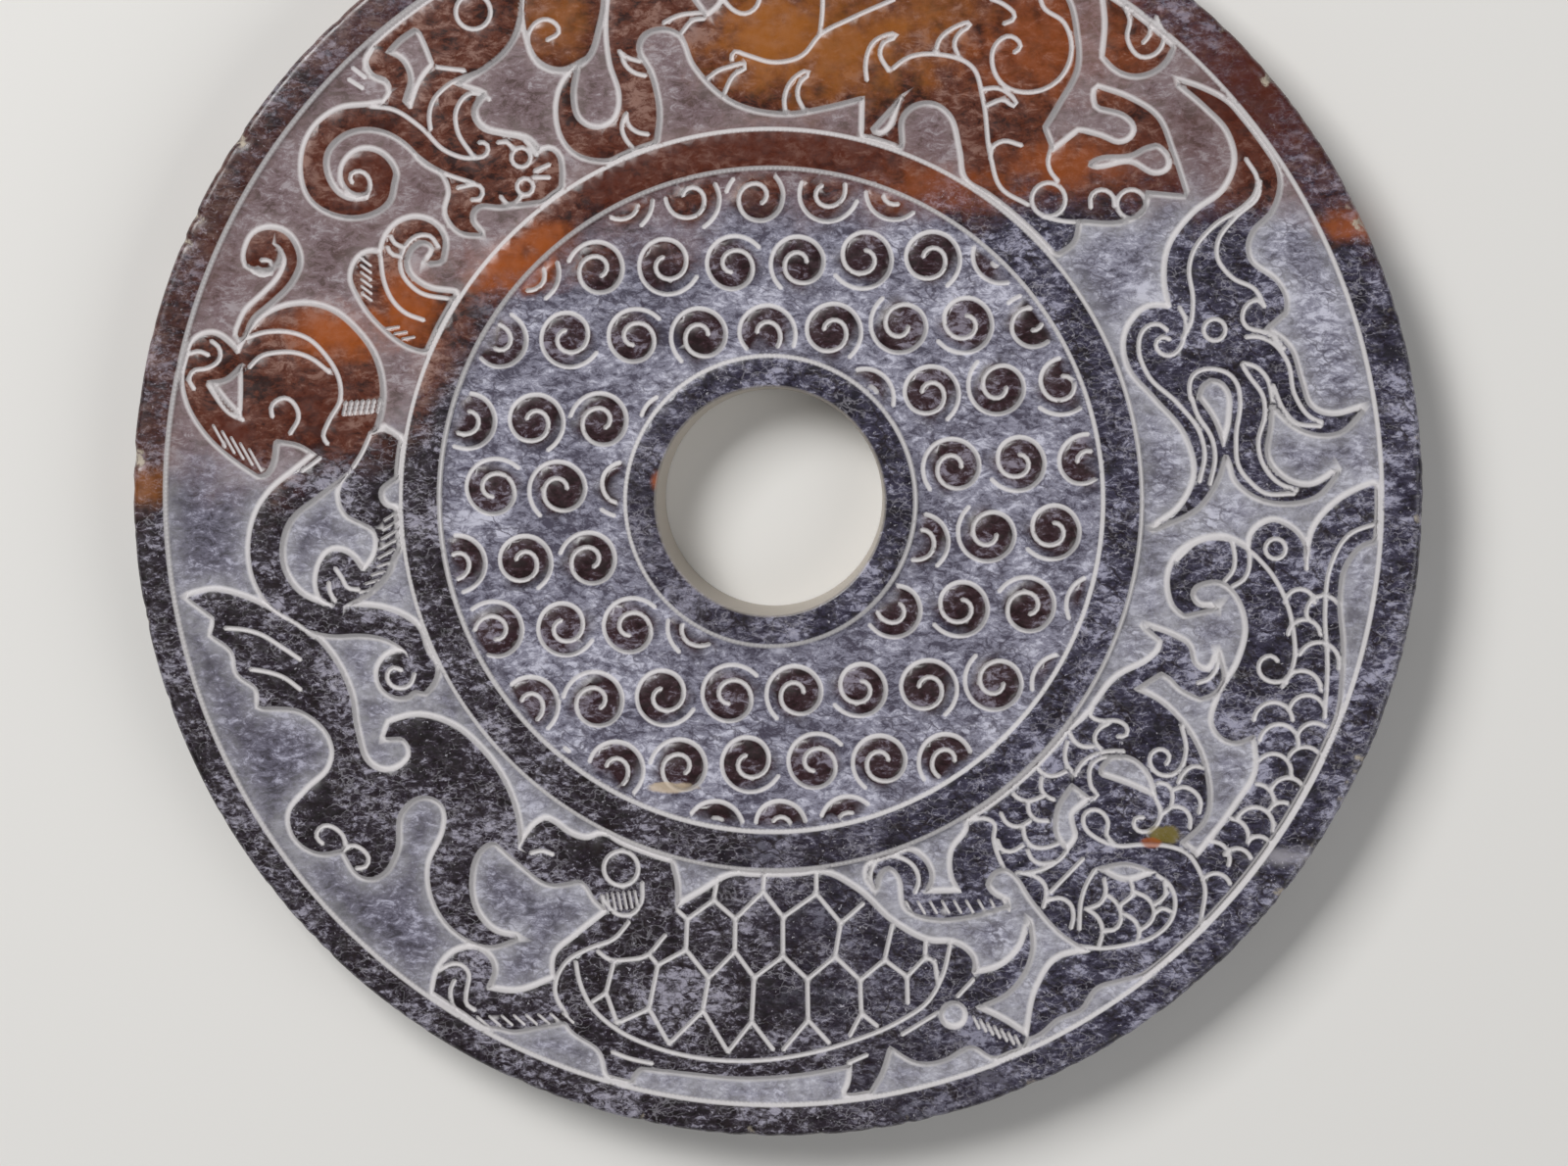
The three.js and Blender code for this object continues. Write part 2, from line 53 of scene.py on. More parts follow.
disc = {
    "ringCentre": (-0.6, -0.7),  # where the rings' centre stands in the frame
    "edgeRadius": 100.0,  # outer edge, about the frame's own origin
    "edgeRounding": 1.2,
    "thickness": (nodeHigh[2] - nodeLow[2]) / mm,
    "holeRadius": 17.6,
    "holeRounding": 0.5,
    "holeRingOuter": 22.7,
    "middleRingInner": 51.2,
    "middleRingOuter": 57.6,
    "rimInner": 94.0,
    "groundDepth": 1.1,
    "grainRadius": 4.0,
    "grainRise": 0.85,
    "topArc": (67, 45, 22, 0),  # degrees round the upper edge
    "wallRows": ((10.1, 0.5), (9.2, 0.1), (6.2, 0), (3.4, 0), (1.2, 0)),  # height, share of the chips
    "footArc": (30, 60, 90),  # degrees round the lower edge
    "backGroundDepth": 0.8,
    "backRimRow": 97,  # radius of the first row on the underside's flat rim
    # recessed fields of the underside: outer border, rows between, inner border, a row on the ring inside
    "backFields": (("rimInner", (88, 81, 74, 67, 61), "middleRingOuter", 54.4),
                   ("middleRingInner", (45, 39, 33, 27), "holeRingOuter", 17.3)),
    "borderFlat": 0.1,  # how far a border's slope runs to its flat side, and to its sunk side
    "borderSunk": 0.4,
    # up the hole's wall, which narrows downwards: radius, height
    "boreRows": ((17.0, 0.3), (17.05, 3), (17.25, 6), (17.42, 9), (17.6, 11.4), (17.75, 11.8)),
    "boreLip": 11.6,  # above this height the hole's wall takes less of its own tone
    "boreLipShare": 0.6,
}

carving = {
    "grooveHalfWidth": 0.42,
    "hairHalfWidth": 0.27,
    "grooveDepth": 0.42,  # in a polished top
    "grooveDepthGround": 0.16,  # in the frosted ground
    "ringGrooveInset": 0.2,
    "fieldMargin": 0.9,  # how near a grain's stroke comes to the rings
    "rimMargin": 1,
    "wallOut": 0.42,  # how far a figure's side runs out below its edge
    "wallIn": 0.12,
    "shoulder": 0.16,  # rounding of a figure's top near its edge
    "shoulderReach": 0.9,
    "grainGap": 0.8,  # between a grain's boss and the rings
    "grainFoot": (-0.35, 0.3),  # where a grain's side rises from the ground, about its edge
    "domeFall": 0.35,
    "unevenness": 0.05,
    "unevennessSize": 7.0,
    "unevennessGround": 1.4,  # times as much on the ground, and 1 less on what stands up
    "edgeLineInner": (0.18, -0.1),  # where the pale line round a figure fades, inside its edge and outside
    "edgeLineOuter": (-1, -0.5),
    "ringClear": 0.1,
    "lineFade": (0.05, 0.75),
    "dustReach": 1.5,  # how far the pale bloom spreads out from the edges
    "ringDust": 0.6,
    "ringDustFrom": 56,
}

meshing = {
    "pathStep": 0.5,
    "outlineStep": 0.72,
    "outlineOffsets": (0.2, -0.05, -0.3, -0.58, -0.98),  # rows of points beside an outline, outwards below 0
    "grooveStep": 0.72,
    "grooveShares": (0, -0.55, 0.55, -1.06, 1.06),  # rows of points along a groove, in half widths
    "ringOffsets": (-0.3, -0.1),
    "rimInsets": (0.45, 1.0, 1.7),
    "grainInset": 1.1,
    "grainPoints": 10,
    "edgeMargin": 0.4,
    "holeMargin": 0.3,
    "fillStep": 2.1,
    "fillRows": 0.866,  # distance between rows, as a share of the step
    "fillJitter": 0.3,
    "fillMargin": 0.9,
    "fillClearance": 1.0,
    "sampleStep": 0.12,
    "mergeCell": 0.13,
    "roundSegments": 600,
    "cornerTurn": 0.85,  # a sharper bend than this stays a corner
    "topTolerance": 0.05,
    "edgeLoopFrom": 96,  # a loop beyond this radius is the disc's own edge
    "ringTolerance": 0.1,
    "weldsPerMm": 500,  # fineness at which vertices count as one
    "testBatch": 2000,
    "mergeLimit": 1e-6,
    "seed": 7,
}


def unit(vectors):
    lengths = np.linalg.norm(vectors, axis=-1, keepdims=True)
    return vectors / np.maximum(lengths, 1e-9)


def smoothStep(low, high, value):
    share = np.clip((value - low) / (high - low), 0, 1)
    return share * share * (3 - 2 * share)


def reach(places):
    return np.linalg.norm(places, axis=1)


def readBack(items, name, width, kind):  # one property of every item, as rows of numbers
    values = np.zeros(len(items) * width, kind)
    items.foreach_get(name, values)
    return values.reshape(-1, width)


# a smooth line through points, straight where they bend sharply
def lineThrough(points, step, closed=False, cornerTurn=9.0):
    pts = np.array(points, float)
    count = len(pts)
    if count == 2 and not closed:
        pieces = max(1, int(np.linalg.norm(pts[1] - pts[0]) / step + 0.5))
        shares = np.linspace(0, 1, pieces + 1)[:, None]
        return pts[0] * (1 - shares) + pts[1] * shares
    ahead = np.roll(pts, -1, 0) - pts
    chord = reach(ahead)
    before = np.roll(ahead, 1, 0)
    chordBefore = np.roll(chord, 1)
    heading = unit(unit(before) * chord[:, None] + unit(ahead) * chordBefore[:, None])
    turn = np.arccos(np.clip((unit(before) * unit(ahead)).sum(1), -1, 1))
    corner = turn > cornerTurn
    if not closed:
        corner[0] = corner[-1] = True
    out = []
    for i in range(count if closed else count - 1):
        j = (i + 1) % count
        start, end, span = pts[i], pts[j], chord[i]
        leave = (ahead[i] if corner[i] else heading[i] * span)
        arrive = (ahead[i] if corner[j] else heading[j] * span)
        pieces = max(1, int(span / step + 0.5))
        t = (np.arange(pieces) / pieces)[:, None]
        out.append(
            (2 * t**3 - 3 * t**2 + 1) * start + (t**3 - 2 * t**2 + t) * leave
            + (3 * t**2 - 2 * t**3) * end + (t**3 - t**2) * arrive
        )
    if not closed:
        out.append(pts[-1:])
    return np.concatenate(out)


def spaced(line, step, closed=False):  # the same line with even steps
    pts = np.vstack([line, line[:1]]) if closed else np.array(line)
    travel = np.concatenate([[0], np.cumsum(reach(np.diff(pts, axis=0)))])
    pieces = max(2, int(travel[-1] / step + 0.5))
    at = np.linspace(0, travel[-1], pieces + 1)
    even = np.stack([np.interp(at, travel, pts[:, k]) for k in (0, 1)], 1)
    return even[:-1] if closed else even


def sideways(line, closed=False):  # left-hand normals along a line
    if closed:
        along = np.roll(line, -1, 0) - np.roll(line, 1, 0)
    else:
        along = np.gradient(line, axis=0)
    along = unit(along)
    return np.stack([-along[:, 1], along[:, 0]], 1)


# The figures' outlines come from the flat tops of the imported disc.
def figureOutlines():
    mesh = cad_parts[discNode].data
    mesh.calc_loop_triangles()
    co = readBack(mesh.vertices, "co", 3, np.float32) / mm
    corners = readBack(mesh.loop_triangles, "vertices", 3, np.int32)
    keys = np.round(co * meshing["weldsPerMm"]).astype(np.int64)
    unique, inverse = np.unique(keys, axis=0, return_inverse=True)
    places = unique / meshing["weldsPerMm"]
    tris = inverse.reshape(-1)[corners]
    tops = tris[(places[tris, 2] > disc["thickness"] - meshing["topTolerance"]).all(1)]
    edges = {(int(t[k]), int(t[(k + 1) % 3])) for t in tops for k in range(3)}
    onward = {}
    for a, b in sorted((a, b) for a, b in edges if (b, a) not in edges):
        onward.setdefault(a, []).append(b)
    loops = []
    while onward:
        start = next(iter(onward))
        loop = [start]
        here = onward[start].pop()
        while here != start:
            loop.append(here)
            here = onward[here].pop()
        onward = {a: ends for a, ends in onward.items() if ends}
        loops.append(places[loop][:, :2] - np.array(disc["ringCentre"]))
    borders = ("holeRadius", "holeRingOuter", "middleRingInner", "middleRingOuter", "rimInner")
    figures = []
    for loop in loops:
        radius = reach(loop)
        onRing = any(np.abs(radius - disc[name]).max() < meshing["ringTolerance"] for name in borders)
        if not onRing and radius.min() <= meshing["edgeLoopFrom"] and len(loop) > 2:
            figures.append(loop)
    return figures


# Lines cut into the figures. Each is a list of points that a smooth stroke follows.
tigerLines = [
    [(-61.7, 61), (-58.5, 60.6), (-54, 57.8), (-49.9, 54), (-45.9, 53), (-43.6, 53.8), (-43.8, 55.3),
     (-44.9, 55.4)],
    [(-43.3, 62), (-46.1, 63), (-48.4, 60.4), (-48.3, 57.4), (-45.7, 53.1)],
    [(-44.7, 62.4), (-45.8, 60.2), (-44.7, 57.8), (-41.5, 56.7), (-38.2, 56), (-36, 53.4)],
    [(-36.3, 51), (-34, 52)],
    [(-36.5, 50), (-34, 50)],
    [(-42, 55.4), (-40.5, 55.4), (-39.6, 54.3)],
    [(-41.6, 47.1), (-40.5, 45.9), (-38.7, 46.7), (-38.3, 47.5)],
    [(-55, 53.8), (-53.2, 52.3), (-50.8, 50.9), (-45.7, 49.1)],
    [(-48.3, 48.4), (-46.7, 48.8), (-44.9, 48.8), (-44.3, 47.7), (-44.9, 46.7), (-46.1, 46.6)],
    [(-62.5, 46.8), (-61.8, 49), (-62.5, 50.6), (-64, 51), (-65, 50.2), (-64.6, 49.2)],
    [(-52.4, 57.4), (-52.6, 59.4), (-52, 61.8), (-50, 64), (-43.9, 66.9), (-39.8, 70.9), (-38.4, 75),
     (-38, 82)],
    [(-51.4, 67), (-49.1, 66.7), (-47.1, 66.5)],
    [(-61.3, 69.9), (-62.3, 67.9), (-61.3, 65.8), (-59.3, 65), (-58.7, 63.4), (-60.1, 61.6)],
    [(-64.6, 67), (-62.6, 65.4)],
    [(-65.2, 65.2), (-63, 63.8)],
    # end of the tendril
    [(-81, 36.4), (-79.9, 35.2), (-77.6, 35.3), (-77.5, 37.2), (-78.9, 37.3)],
    # forepaw
    [(-60.3, 37.8), (-59.8, 34.1), (-58.5, 31.1), (-56.6, 29.2), (-53.6, 28)],
    [(-51.3, 39.3), (-52.6, 41), (-54.3, 41.1), (-57, 38.3), (-57.2, 36), (-54.7, 32.6), (-49.2, 31.2)],
    [(-58.7, 41), (-58.2, 40), (-56.9, 39.3)],
    [(-59.2, 39.3), (-58.7, 38.3), (-57.5, 37.9)],
    # haunch and hind paws
    [(-81.3, 25.2), (-79.1, 26), (-76.6, 26.3), (-73.8, 26), (-71.4, 25), (-69.3, 23), (-66.7, 18.1),
     (-66.7, 15.7), (-68.5, 12.4), (-69.3, 9.6), (-68.7, 8.8)],
    [(-80.9, 20.7), (-79.1, 22.4), (-76.6, 23), (-73.8, 23), (-71.4, 22.2), (-68.3, 19.9)],
    [(-77.3, 13), (-77.5, 14.5), (-76.4, 15.7), (-75, 15.9), (-73.8, 14.9), (-73.2, 13.2), (-74.6, 10.4)],
    [(-90.3, 22.8), (-88.8, 23.2), (-87.2, 22.6)],
    [(-86.8, 24.8), (-85.6, 23.8), (-85.4, 22.2), (-87.6, 20.5), (-89.7, 20.1), (-90.3, 18.9), (-89.5, 17.3)],
    [(-87.4, 18.1), (-86.4, 16.5), (-83.8, 13.4), (-81.9, 12.5)],
    [(-62.2, 10.4), (-60.2, 11), (-58.8, 10.6), (-57.7, 9.8)],
    [(-67.7, -10.5), (-66.7, -11.9), (-65.7, -13.6), (-64, -13.8)],
    [(-68.7, -12.7), (-68.5, -14.4), (-67.7, -15.6)],
    # tail
    [(-69.9, 6.7), (-71.3, 5.6), (-72.8, 4.6)],
    [(-62.2, 10), (-63.4, 7.4), (-64.8, 5.2)],
    [(-79.6, -15.6), (-77, -17.4), (-74, -19.1), (-71, -21.3)],
    [(-55.4, -26.9), (-56, -28.5), (-57.7, -29.2), (-59.3, -28.5), (-59.7, -27.1), (-58.9, -26),
     (-57.4, -26.4)],
]
tigerRings = [(-38.4, 53.1, 1.5), (-37.8, 48.6, 1.3), (-45.7, 75.5, 2.7)]

birdLines = [
    [(-85, -19.9), (-82.2, -20.1), (-79.3, -20.9), (-76.8, -22.4), (-73.2, -24.8)],
    [(-81.1, -26.3), (-78.5, -26.7), (-76, -27.5), (-73.2, -29.5)],
    [(-69.9, -53.6), (-70.9, -52.6), (-70.7, -51.4), (-69.5, -50.7), (-67.9, -51.2), (-66.6, -52.6),
     (-66.4, -53.8)],
    [(-66.8, -54.8), (-65.6, -53.8), (-63.8, -54.4), (-62.7, -56), (-63.3, -57.2), (-64.7, -57.4)],
    [(-37.4, -54.9), (-35.8, -54.5), (-33.9, -55.1)],
    [(-20, -59.4), (-20.2, -62.6), (-21.7, -64.4), (-24.3, -64.2), (-26.1, -61.8)],
]
birdRings = [(-23.3, -57.2, 2.7)]

tortoiseLines = [
    [(-51.7, -73.3), (-50.4, -72.5), (-48.8, -72.3), (-47.4, -73.3), (-47.6, -77), (-47.6, -78.6),
     (-46.2, -79.6)],
    [(-49.4, -79.6), (-50, -77.8), (-50, -76.2), (-49.4, -74.9)],
    [(-22.1, -65.6), (-24.4, -68.2), (-28.4, -69.8), (-32.1, -72.1), (-33.7, -76.6), (-31.9, -80.3)],
    [(-27, -70.2), (-25.2, -71.5), (-22.3, -71.5), (-19.9, -71.1), (-16.4, -67.6)],
    [(-30.4, -71.9), (-30, -74.4), (-28, -78.9), (-24.3, -82.3), (-18.2, -85.2), (-11.7, -86.8),
     (-4, -87.3), (4.1, -86.4), (12.3, -84.2), (20, -80.9), (24.5, -77.7), (26.6, -74), (28, -68.5)],
    [(16.1, -60.4), (15.5, -58.8), (16.9, -55.5), (18.9, -55.1), (22.6, -57.2), (23, -59.2), (22.4, -60.8)],
    [(-24.8, -86), (-22.2, -87), (-18.5, -87.8)],
    [(15, -86.2), (12, -87.5)],
    [(20.4, -83), (26, -79.5)],
    [(29, -77), (31.5, -74.3)],
]

serpentLines = [
    # head, neck and fin
    [(62.7, -9), (65.9, -6.2), (70.7, -5.8), (76.3, -9.8), (79.2, -14.3), (80.8, -20.3), (80.9, -24.4),
     (79.6, -28)],
    [(71.3, -6.4), (71.7, -8.4), (71.4, -10.6), (70.2, -12.1)],
    [(73.9, -7.9), (73.9, -10.1), (73.1, -11.9), (71.4, -13)],
    [(82.6, -7), (82.7, -10.4)],
    [(93.6, -3.2), (89.2, -5), (86.4, -9.8), (85.6, -16.3), (86, -25.6), (85.6, -33.3)],
    [(78.4, -24.6), (77.6, -23.8), (76.2, -24), (75.4, -25.2), (75.8, -26.8), (77.6, -27.8), (79.6, -27.4),
     (80.8, -26)],
    [(69.3, -23.5), (69, -25.5), (67.8, -27.3), (66, -28)],
    # left coil
    [(49.9, -31.8), (49.5, -33.1), (50.7, -33.8), (54.1, -34), (55.3, -35), (55, -36.2), (53.7, -36.3)],
    [(52.3, -34.3), (51, -35), (50.2, -36.3), (50.4, -37.5), (51.1, -38.2)],
    [(47.2, -42.4), (48.3, -40.4), (50.1, -39.2), (52.4, -38.6), (54.7, -38.6)],
    [(54.1, -39.8), (51.8, -39.5), (49.8, -40.6), (49.4, -42.7), (49.8, -44.4), (50.7, -45.6), (49.5, -46),
     (48.1, -45.6)],
    [(31, -49.5), (32.7, -49.1), (34.7, -49.9), (34.6, -52.2), (35.3, -54.9), (36.2, -56.9)],
    [(38.2, -57.6), (40.5, -57.5), (43.1, -56.6), (44.9, -55.4), (45.9, -54.3)],
    [(39.6, -57.7), (41.4, -58.3), (42.7, -59.8), (42.7, -61.5), (42.3, -63)],
    [(48.5, -55.3), (43.4, -60.6)],
    [(43.1, -61.8), (44.9, -61.5), (46.5, -62.4), (47, -64.4), (46.6, -66.2)],
    [(50.2, -57.2), (48.9, -59.5), (48.2, -61.8), (47.9, -66.4)],
    # lower coil and middle
    [(59.9, -57.9), (61.7, -59.2), (62.7, -61.5), (62.4, -64.1), (58.5, -67.9), (55.9, -68.6),
     (50.9, -69.3), (48.3, -69)],
    [(53, -52.8), (52.1, -51.7), (52.3, -49.6), (51.2, -48), (49.8, -47.7), (48.6, -48.5), (48.5, -49.9),
     (51.2, -52.5), (53.6, -53.3), (57.6, -53.1), (62.3, -53.5), (64.3, -54.3), (66.3, -56.9),
     (67.2, -59.2), (66.7, -65)],
    [(57.8, -48.9), (56.5, -49), (56.3, -50.2), (57.3, -51.1), (58.8, -50.9), (59.9, -49.9), (60.4, -47.9),
     (59.6, -45.9)],
    [(61.2, -40.6), (61.8, -39.5), (61.2, -38.5), (59.9, -38.3), (58.8, -39.2), (58.8, -40.6),
     (59.6, -41.8), (61.4, -42.4), (62.8, -41.9), (64.3, -38.6), (63.6, -34.6)],
]
# edges of the scales that lie on the coils
scaleLines = [
    [(46.2, -35.4), (47, -37), (48.3, -37.9), (49.9, -37.9)],
    [(46, -37.2), (45.6, -39.2), (46, -40.9), (47.2, -42.2)],
    [(41.1, -40.9), (42.3, -42.2), (44, -42.5), (45.7, -41.8)],
    [(42, -42.8), (42, -44.7), (42.8, -45.7), (44, -46.2)],
    [(37, -44.1), (37.9, -45.6), (39.6, -46.4), (42.4, -45.6)],
    [(39.9, -46.7), (40.1, -48.2), (41.1, -49.3), (43, -49.5)],
    [(35.7, -48.3), (36.7, -49.9), (38.5, -50.4), (40.2, -49.5)],
    [(39.2, -50.4), (39.4, -52), (40.5, -53.4), (42.5, -53.7), (44.6, -53)],
    [(35.2, -52.5), (35.9, -54), (37.3, -54.3), (39.1, -53.3)],
    [(39.9, -54.1), (40.5, -55.4), (42, -56.2), (43.7, -55.9)],
    [(51.7, -58.5), (52, -60.4), (51, -62.4), (49.5, -63)],
    [(48.9, -63.1), (50.7, -64.4), (51.5, -66.4), (51, -68.8)],
    [(52.4, -61.1), (53.8, -62.4), (54.4, -64.4), (53.6, -66.2), (51.8, -66.6)],
    [(55.9, -58.9), (56.2, -60.6), (54.4, -62.4)],
    [(56.5, -60.5), (58.5, -61.5), (59.5, -63.5), (58.8, -65.3), (57.6, -66.2)],
    [(55, -64), (56.5, -65), (57.2, -66.7), (56.9, -68.2)],
    [(61.1, -58.9), (61.2, -60.9), (59.6, -62.4)],
    [(59.5, -63.8), (60.8, -63), (62, -63.5)],
    [(63.1, -43.5), (64, -41.8), (65.4, -40.9), (67.2, -41.2)],
    [(59.9, -43.5), (61.4, -43.7), (62.3, -45.6), (62, -47.3)],
    [(62.4, -44.6), (63.7, -44.1), (65.4, -44.7), (66.6, -46.4), (66.3, -48.2)],
    [(60.7, -48.3), (62.3, -47.2), (64, -47.5), (65, -49), (64.9, -50.5)],
]
serpentRings = [(77.9, -7.2, 1.6)]

dragonLines = [
    # muzzle, whiskers and beard
    [(61.2, 26.4), (60, 27.3), (58.4, 27.2), (57.2, 26), (56.8, 24), (58.2, 19.6), (62.8, 15.2),
     (66.4, 10.3), (67, 7.5), (66.2, 3.1)],
    [(65, 16), (65.6, 14), (68.2, 9.5), (68.6, 7.1), (67.8, 2.7)],
    [(63, 30), (64, 28), (63.8, 25.6), (63.2, 23.8), (61.6, 22.5), (60, 23), (59.4, 24.4), (60.4, 25.4),
     (61.6, 25)],
    [(64.8, 16), (64.6, 17.6), (65.2, 19.6), (66.8, 20.4), (68.8, 20.4), (70.8, 19.6), (72, 18),
     (72.4, 15.6), (71.8, 9.9), (72.4, 5.1), (74, 3.1), (76, 1.5), (80.8, 1.3)],
    [(72.6, 21.2), (73.6, 19.6), (76, 16), (76.2, 13.6), (75.2, 9.1), (75.6, 6.7), (78.8, 2.7), (81.2, 1.9)],
    [(73.2, 25.4), (75.2, 25.4), (77.2, 24.6), (79.6, 21.6), (80.8, 16.4), (83.6, 12.8), (85, 12.3)],
    [(77.4, 18), (79.2, 14), (80.8, 12.3), (84.8, 11.7)],
    [(72.8, 21.4), (74.8, 20.8), (76.4, 19.2), (77.4, 15.6)],
    # mane
    [(73.1, 52.7), (74.9, 49.3), (74.5, 47.3), (73.1, 45.7), (68.3, 42.5), (65.1, 38.5), (64.5, 36.1),
     (65.1, 31.2), (64.5, 26.8), (63.5, 25.2)],
    [(75.3, 49.3), (75.1, 47.3), (71.5, 43.7), (68.9, 40.1), (68.7, 38.1), (71.1, 34.5), (74.7, 32.6),
     (76.1, 30)],
    [(76.1, 30), (75.1, 31), (73.9, 30.8), (72.9, 29.6), (72.7, 28), (73.5, 26.8), (75.1, 26.4),
     (77.1, 25.6), (79.1, 23.6)],
    # back and belly
    [(19.2, 77.2), (12.4, 74.2), (7.8, 71.8), (5, 68.6), (0.7, 67.6), (-3.8, 68.8), (-5.6, 69.2), (-5.8, 68)],
    [(7.8, 71.8), (8.2, 76), (8, 82)],
    [(-7.2, 77.5), (-5.8, 75.8), (-3.8, 75), (-1.9, 76.2), (-1.3, 78.4)],
    [(-34.3, 71.1), (-32.4, 72.5), (-33.3, 73.9), (-34.7, 74.3), (-37.1, 72.3), (-36.1, 68.4),
     (-32.4, 66.6), (-28.4, 68.2)],
    # flame wisps
    [(2.5, 59.7), (2.3, 62.1), (4.3, 65.6), (6.1, 66.2), (4.7, 64.5), (4.3, 62.9), (5.5, 59.9)],
    [(15, 64.8), (14.8, 67.2), (16.4, 71), (19.6, 71.6), (17.6, 70.6), (17, 69.2), (18.4, 66.2)],
    [(25.6, 69), (26, 70.8), (27.6, 72.4), (31, 73.3), (29.2, 72), (28.4, 70.4), (29, 68.6)],
    [(33, 63.4), (34.8, 63.6), (36.4, 63), (37.8, 60.8), (36, 61.8), (33.6, 61)],
    [(34, 52.8), (34.2, 54.4), (35.6, 55.4), (38.8, 54.8)],
    [(-9.6, 65), (-8.2, 66.2), (-6.2, 66.9), (-3.6, 67.1), (-5.4, 65.8), (-7.2, 62.3)],
    [(-16.3, 73.7), (-14.3, 74.7), (-12.2, 75.1), (-9.6, 74.7), (-11.8, 74.1), (-13.5, 72.2)],
    [(-23.2, 69.4), (-21.9, 68.4), (-19.9, 67.8)],
    [(-22.9, 69.2), (-22.3, 67.4), (-20.7, 66), (-19.1, 65.6)],
    [(-22.1, 59.9), (-21.9, 58.3), (-20.3, 56.9), (-18.7, 56.6)],
    [(-22.3, 59.5), (-22.8, 57.7), (-22.1, 55.7), (-21.1, 54.5)],
    # arch of the leg, and the round curl beside it
    [(19, 66.6), (20.8, 68), (26.4, 68.7), (31.2, 66.8), (32.8, 62), (34, 53.2), (35.6, 48.3), (39.8, 45.7)],
    [(37.6, 69), (38.6, 69.8), (37.2, 71.5), (34.6, 70), (34.2, 67.6), (36, 64), (40, 62.9), (44.4, 64.8),
     (46.4, 69.2), (45.2, 73.6), (42, 76), (41.4, 79)],
    [(34, 77.2), (35.6, 76.6), (37.6, 74.2), (36, 73.4)],
    [(43.2, 54), (42.8, 52.4), (43.2, 50.8), (44.4, 49.3)],
    [(49.4, 45.2), (49.5, 47.2), (51.1, 48), (52.8, 47), (53, 45.4)],
    [(42.1, 43.9), (45, 43.2), (47.7, 43)],
    [(54.5, 76), (55.3, 74), (54.9, 71.2), (57.3, 68.2), (59.3, 68.8), (60.5, 70.8), (59.3, 74.4)],
    [(57.3, 70.4), (58.3, 71.6), (58.5, 73.2)],
    # crest under the rim, where the back runs on
    [(-18, 80), (-14, 82.4), (-9.6, 80.6)],
    [(12, 84), (17, 81.6), (22, 82.2)],
    [(-1, 83.6), (3, 80.8), (7, 81.6)],
]
dragonRings = [(68.4, 26.5, 1.7), (42.9, 46.5, 2.6), (55.6, 45.8, 2.2)]

# Rows of short hair strokes: first foot, last foot, how many, and the stroke itself.
hairRows = [
    ((-63.4, 37.6), (-63.3, 32.2), 6, (1.6, -1.2)),
    ((-59.4, 26.7), (-57.0, 25.1), 3, (1.9, 0.3)),
    ((-66.3, 13.3), (-61, 13.7), 7, (0.5, 2.1)),
    ((-86.6, 11.7), (-81, 8), 5, (1.9, -3.4)),
    ((-60, -3), (-60.9, -8.9), 5, (2.4, 1.4)),
    ((-61.1, -10.2), (-63.9, -14.3), 4, (2, 0.6)),
    ((-45.9, -80.6), (-32.5, -80), 8, (1.7, -1.5)),
    ((-26.4, -61.3), (-21.2, -60.7), 7, (0.5, -2.6)),
    ((31.5, -80.1), (38, -83), 7, (0.9, -1.9)),
    ((21, -62.2), (36, -61.8), 9, (1.1, -1.9)),
]

# The tortoise's plates: rows of corners, from the top of the shell down. Each row is joined to the next.
shell = {
    "stubTops": [(-8.3, -59), (-1, -57.8), (7.1, -58.1)],
    "peaks": [(-8.9, -62.1), (-1.2, -60.7), (7.1, -61), (14.4, -62.5)],
    "upperHeads": [(-13, -65.1), (-5.5, -65), (1.9, -64.7), (10.9, -65.6), (18.9, -66)],
    "upperFeet": [(-13.2, -69.9), (-5.6, -70.1), (1.9, -70.8), (10, -70.8), (17.7, -71.3)],
    "lowerHeads": [(-17.6, -72.3), (-9.7, -74.3), (-2.6, -74.2), (5.7, -74.4), (13.9, -74.5), (21.2, -73.9)],
    "lowerFeet": [(-19, -79.2), (-10.6, -79.4), (-3, -81.1), (5.8, -80.8), (14.1, -79.7), (21.3, -78.1)],
    "bottoms": [(-15.9, -84.7), (-6.7, -85.9)],
    "ends": [
        ((-3, -81.1), (0.4, -85.5)), ((1.9, -85.5), (5.8, -80.8)), ((5.8, -80.8), (9.1, -84.4)),
        ((12.3, -83.2), (14.1, -79.7)), ((14.1, -79.7), (16.6, -81.7)), ((-24, -81.5), (-19, -79.2)),
        ((-24.4, -71.6), (-25.7, -76.7)), ((-25.7, -76.7), (-27.8, -78.1)), ((-25.7, -76.7), (-24, -81.5)),
        ((-18.8, -70.9), (-17.6, -72.3)), ((21.2, -73.9), (24, -70.9)), ((24, -70.9), (24.1, -68.5)),
        ((24, -70.9), (25.5, -71.4)), ((25.5, -71.4), (26, -75)), ((-14.6, -63.7), (-13, -65.1)),
    ],
}

# Scales down the serpent's back: middle of each arc, its radius, and how far it leans over to the right.
scales = {
    "steps": 13,
    "tilt": 2.5,
    "sweep": 175 / 360,
    "arcs": [(81.7, -15.7, 2.3, 0), (85.3, -17, 2.6, -30), (82.4, -20.6, 2.5, 0), (84.6, -24.8, 3.2, 20),
             (82, -29, 3.0, 5), (82.9, -32.6, 2.8, 10), (77.7, -33.9, 3.0, 0), (84, -36.8, 2.7, 10),
             (78.6, -37.3, 3.0, 5), (82.6, -40.6, 2.8, 15), (77.7, -41.7, 2.8, 10), (80, -45.3, 2.7, 20),
             (75.1, -46.4, 2.8, 15), (79.1, -48.6, 2.2, 25), (74.9, -50.1, 2.9, 20), (71.1, -51.9, 2.9, 20),
             (75.5, -53.7, 2.0, 30), (68.4, -55.3, 2.7, 25), (72.2, -55.9, 2.3, 30), (68.9, -59.9, 2.4, 30)],
}

